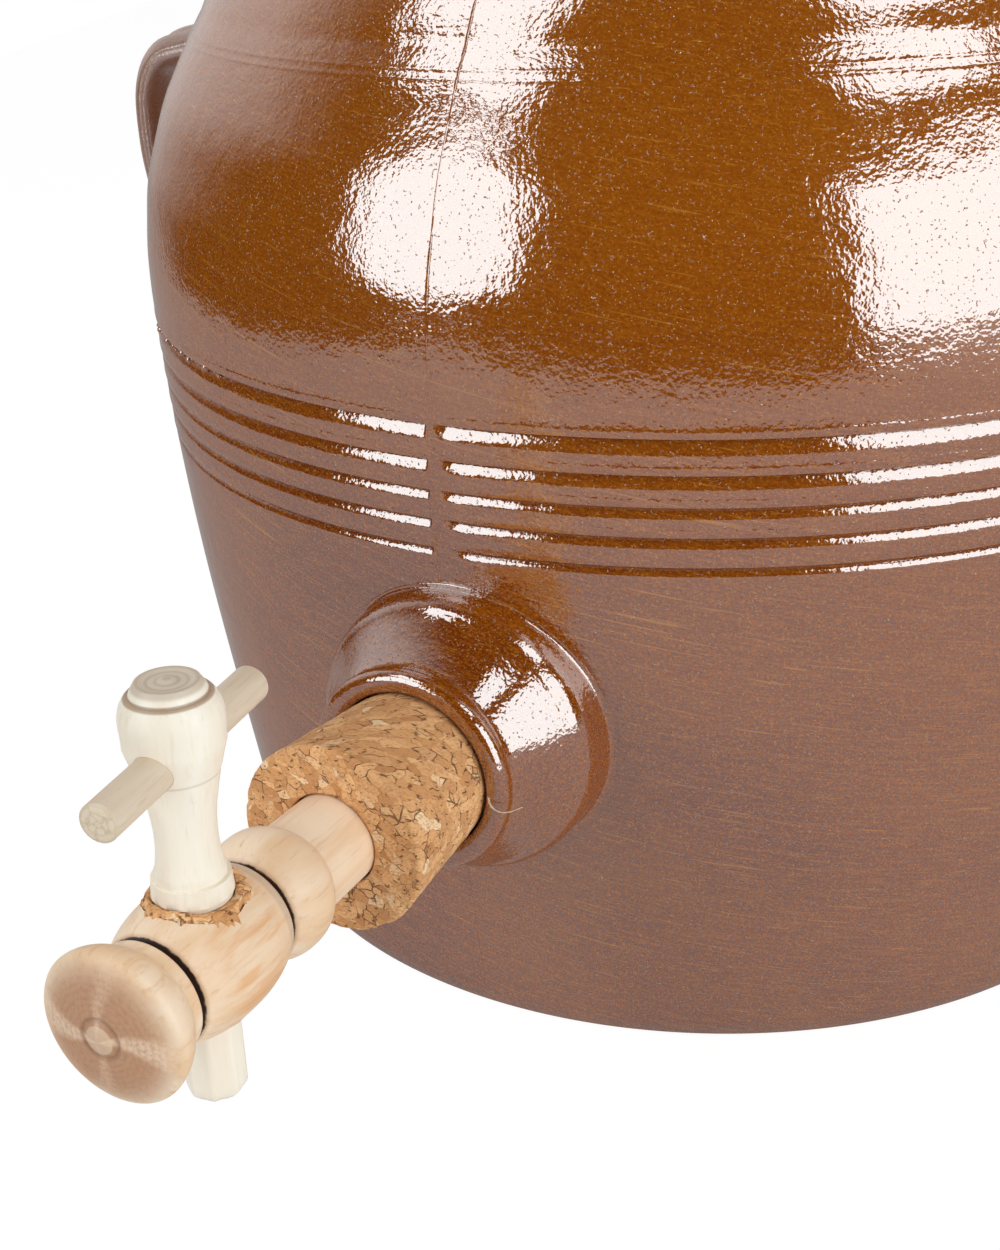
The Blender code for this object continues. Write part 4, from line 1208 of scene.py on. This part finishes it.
def make_bar_wood():
    """The crossbar's beige wood, with fine rays and rings on its two ends."""
    rest = (0, 0, -KEY_REST_ANGLE)
    graph = Wood("bar_wood", (0.72, 0.58, 0.44), (0.64, 0.48, 0.33), (0.5, 0.35, 0.22), rest)
    placed_on_bar = graph.moved(shift=(0, KEY_PLACE, -TAP_HEIGHT - CROSSBAR_HEIGHT), turn=rest)
    across, along, up = graph.axes(placed_on_bar)
    end = CROSSBAR_LENGTH / 2 - 0.0002
    on_end = graph.range(graph.away(along, CROSSBAR_OFFSET), end - 0.0001, end + 0.00015)
    wobble = graph.times(graph.noise(900.0, 2.0, 0.6, placed_on_bar), 9.0)
    star = graph.math("SINE", graph.plus(graph.times(graph.math("ARCTAN2", up, across), 5.0), wobble))
    rings = graph.math("SINE", graph.plus(graph.times(graph.reach(up, across), 6500.0), wobble))
    face = graph.layers(
        (0.78, 0.64, 0.48),
        (star, 0.3, 1.0, 0.0, 0.5, (0.56, 0.4, 0.26)),
        (rings, 0.2, 0.9, 0.0, 0.35, (0.55, 0.38, 0.22)),
    )
    colour = graph.mix(graph.times(on_end, 0.85), graph.colour, face)
    return graph.done(colour, 0.00004, 0.42, 0.58)


# Studio


def make_table():
    """A pale table that ends in front of the jar, and that the camera and reflections see as white."""
    mesh = bpy.data.meshes.new("table")
    near = [(-TABLE_LEFT, TABLE_FRONT), (TABLE_RIGHT, TABLE_FRONT)]
    far = [(TABLE_RIGHT, -TABLE_BACK), (-TABLE_LEFT, -TABLE_BACK)]
    corners = [TO_THE_RIGHT * across + TO_THE_CAMERA * out for across, out in near + far]
    mesh.from_pydata(corners, [], [(0, 1, 2, 3)])
    table = placed("table", mesh)
    graph = Graph(bpy.data.materials.new("table"))
    graph.tree.nodes.remove(graph.tree.nodes["Principled BSDF"])
    seen = graph.add("ShaderNodeLightPath", output="Is Camera Ray")
    mirrored = graph.add("ShaderNodeLightPath", output="Is Glossy Ray")
    strength = graph.add("ShaderNodeMapRange", {"Value": seen, "To Min": GLOW_MIRRORED, "To Max": GLOW_SEEN})
    diffuse = graph.add("ShaderNodeBsdfDiffuse", {"Color": TABLE_COLOUR})
    glow = graph.add("ShaderNodeEmission", {"Color": (1, 1, 1), "Strength": strength})
    share = graph.plus(graph.times(seen, GLOW_SHARE_SEEN), graph.times(mirrored, GLOW_SHARE_MIRRORED))
    blend = graph.add("ShaderNodeMixShader", {0: share, 1: diffuse, 2: glow})
    graph.join(graph.tree.nodes["Material Output"].inputs["Surface"], blend)
    mesh.materials.append(graph.owner)


def make_lamps():
    """The large soft boxes whose reflections lie on the glaze."""
    for index, (shape, azimuth, elevation, width, height) in enumerate(SOFT_BOXES):
        light = bpy.data.lights.new(f"soft_box_{index}", "AREA")
        light.shape = shape
        light.color = BOX_COLOUR
        light.size = width
        light.size_y = height
        area = width * height * (pi / 4 if shape == "ELLIPSE" else 1)
        light.energy = BOX_RADIANCE * pi * area
        box = placed(f"soft_box_{index}", light)
        level = BOX_DISTANCE * cos(elevation)
        way = Vector((level * sin(azimuth), -level * cos(azimuth), BOX_DISTANCE * sin(elevation)))
        box.location = BOX_TARGET + way
        box.rotation_euler = (BOX_TARGET - box.location).to_track_quat("-Z", "Y").to_euler()


def make_world():
    """A world that the camera sees as white, and that lights the jar mostly from both sides behind it."""
    world = bpy.data.worlds.new("studio")
    bpy.context.scene.world = world
    graph = Graph(world)
    way = graph.add("ShaderNodeTexCoord", output="Generated")
    facing = graph.add("ShaderNodeVectorMath", {0: way, 1: -TO_THE_CAMERA}, "Value", operation="DOT_PRODUCT")
    levels = {"Value": graph.axes(way)[2], "From Min": -0.1, "From Max": 0.35, "To Min": -0.3, "To Max": 0.3}
    lifted = graph.plus(facing, graph.add("ShaderNodeMapRange", levels))
    beside = graph.range(lifted, 0.2, 0.85, 0.012, 0.88)
    wings = graph.times(beside, graph.range(facing, 0.86, 1.0, 1.0, 0.35))
    seen = graph.add("ShaderNodeLightPath", output="Is Camera Ray")
    background = world.node_tree.nodes["Background"]
    graph.join(background.inputs["Color"], (1, 1, 1))
    graph.join(background.inputs["Strength"], graph.add("ShaderNodeMix", {0: seen, 2: wings, 3: 1.0}))


def make_camera():
    """The camera at the photograph's viewing angle."""
    data = bpy.data.cameras.new("camera")
    data.sensor_fit = "VERTICAL"
    data.sensor_height = CAMERA_SENSOR
    data.lens = CAMERA_LENS
    data.clip_start = 0.01
    camera = placed("camera", data)
    place = TO_THE_CAMERA * CAMERA_DISTANCE + Vector((0, 0, CAMERA_HEIGHT))
    turn = Matrix.Rotation(CAMERA_YAW, 4, "Z") @ Matrix.Rotation(CAMERA_PITCH, 4, "X")
    camera.matrix_world = Matrix.Translation(place) @ turn @ Matrix.Rotation(CAMERA_ROLL, 4, "Z")
    bpy.context.scene.camera = camera


def paint(piece, surface):
    """Gives a piece its only material."""
    piece.data.materials.clear()
    piece.data.materials.append(surface)


def main():
    make_camera()
    make_table()
    make_lamps()
    make_world()
    glaze = make_glaze("brown_glaze", 0.0, 0.0)
    # The handles' glaze is rougher and has a painted reflection of the white backdrop in its colour.
    dull_glaze_painted_veil = make_glaze("dull_glaze_painted_veil", 0.4, 0.22)
    lid_glaze = make_glaze("lid_glaze", 0.0, 0.16)
    cork = make_cork()
    barrel_wood = make_barrel_wood()
    key_wood = make_key_wood()
    bar_wood = make_bar_wood()
    pieces = (
        (make_key(), "key", "tap_key", key_wood, "key_wood"),
        (make_crossbar(), "key", "key_crossbar", bar_wood, "key_wood"),
        (make_jar(), "jar", "jar_body", glaze, "brown_glaze"),
        (make_boss(), "jar", None, glaze, "brown_glaze"),
        (make_beads(), "jar", None, glaze, "brown_glaze"),
        (make_handle("strap_left", -1), "jar", "left_handle", dull_glaze_painted_veil, "brown_glaze"),
        (make_handle("strap_right", 1), "jar", "right_handle", dull_glaze_painted_veil, "brown_glaze"),
        (make_lid(), "lid", "lid", lid_glaze, "brown_glaze"),
        (make_splinter(), "jar", None, bar_wood, "key_wood"),
        (make_bung(), "tap", "bung", cork, "cork"),
        (make_barrel(), "tap", "tap_barrel", barrel_wood, "barrel_wood"),
        (make_shreds(), "tap", None, cork, "cork"),
    )
    for piece, body, node, surface, slot in pieces:
        paint(piece, surface)
        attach(piece, body)
        if node:
            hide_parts(node)
    paint(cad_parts["key_lining"], cork)
    bpy.context.scene.view_settings.view_transform = "Standard"


main()
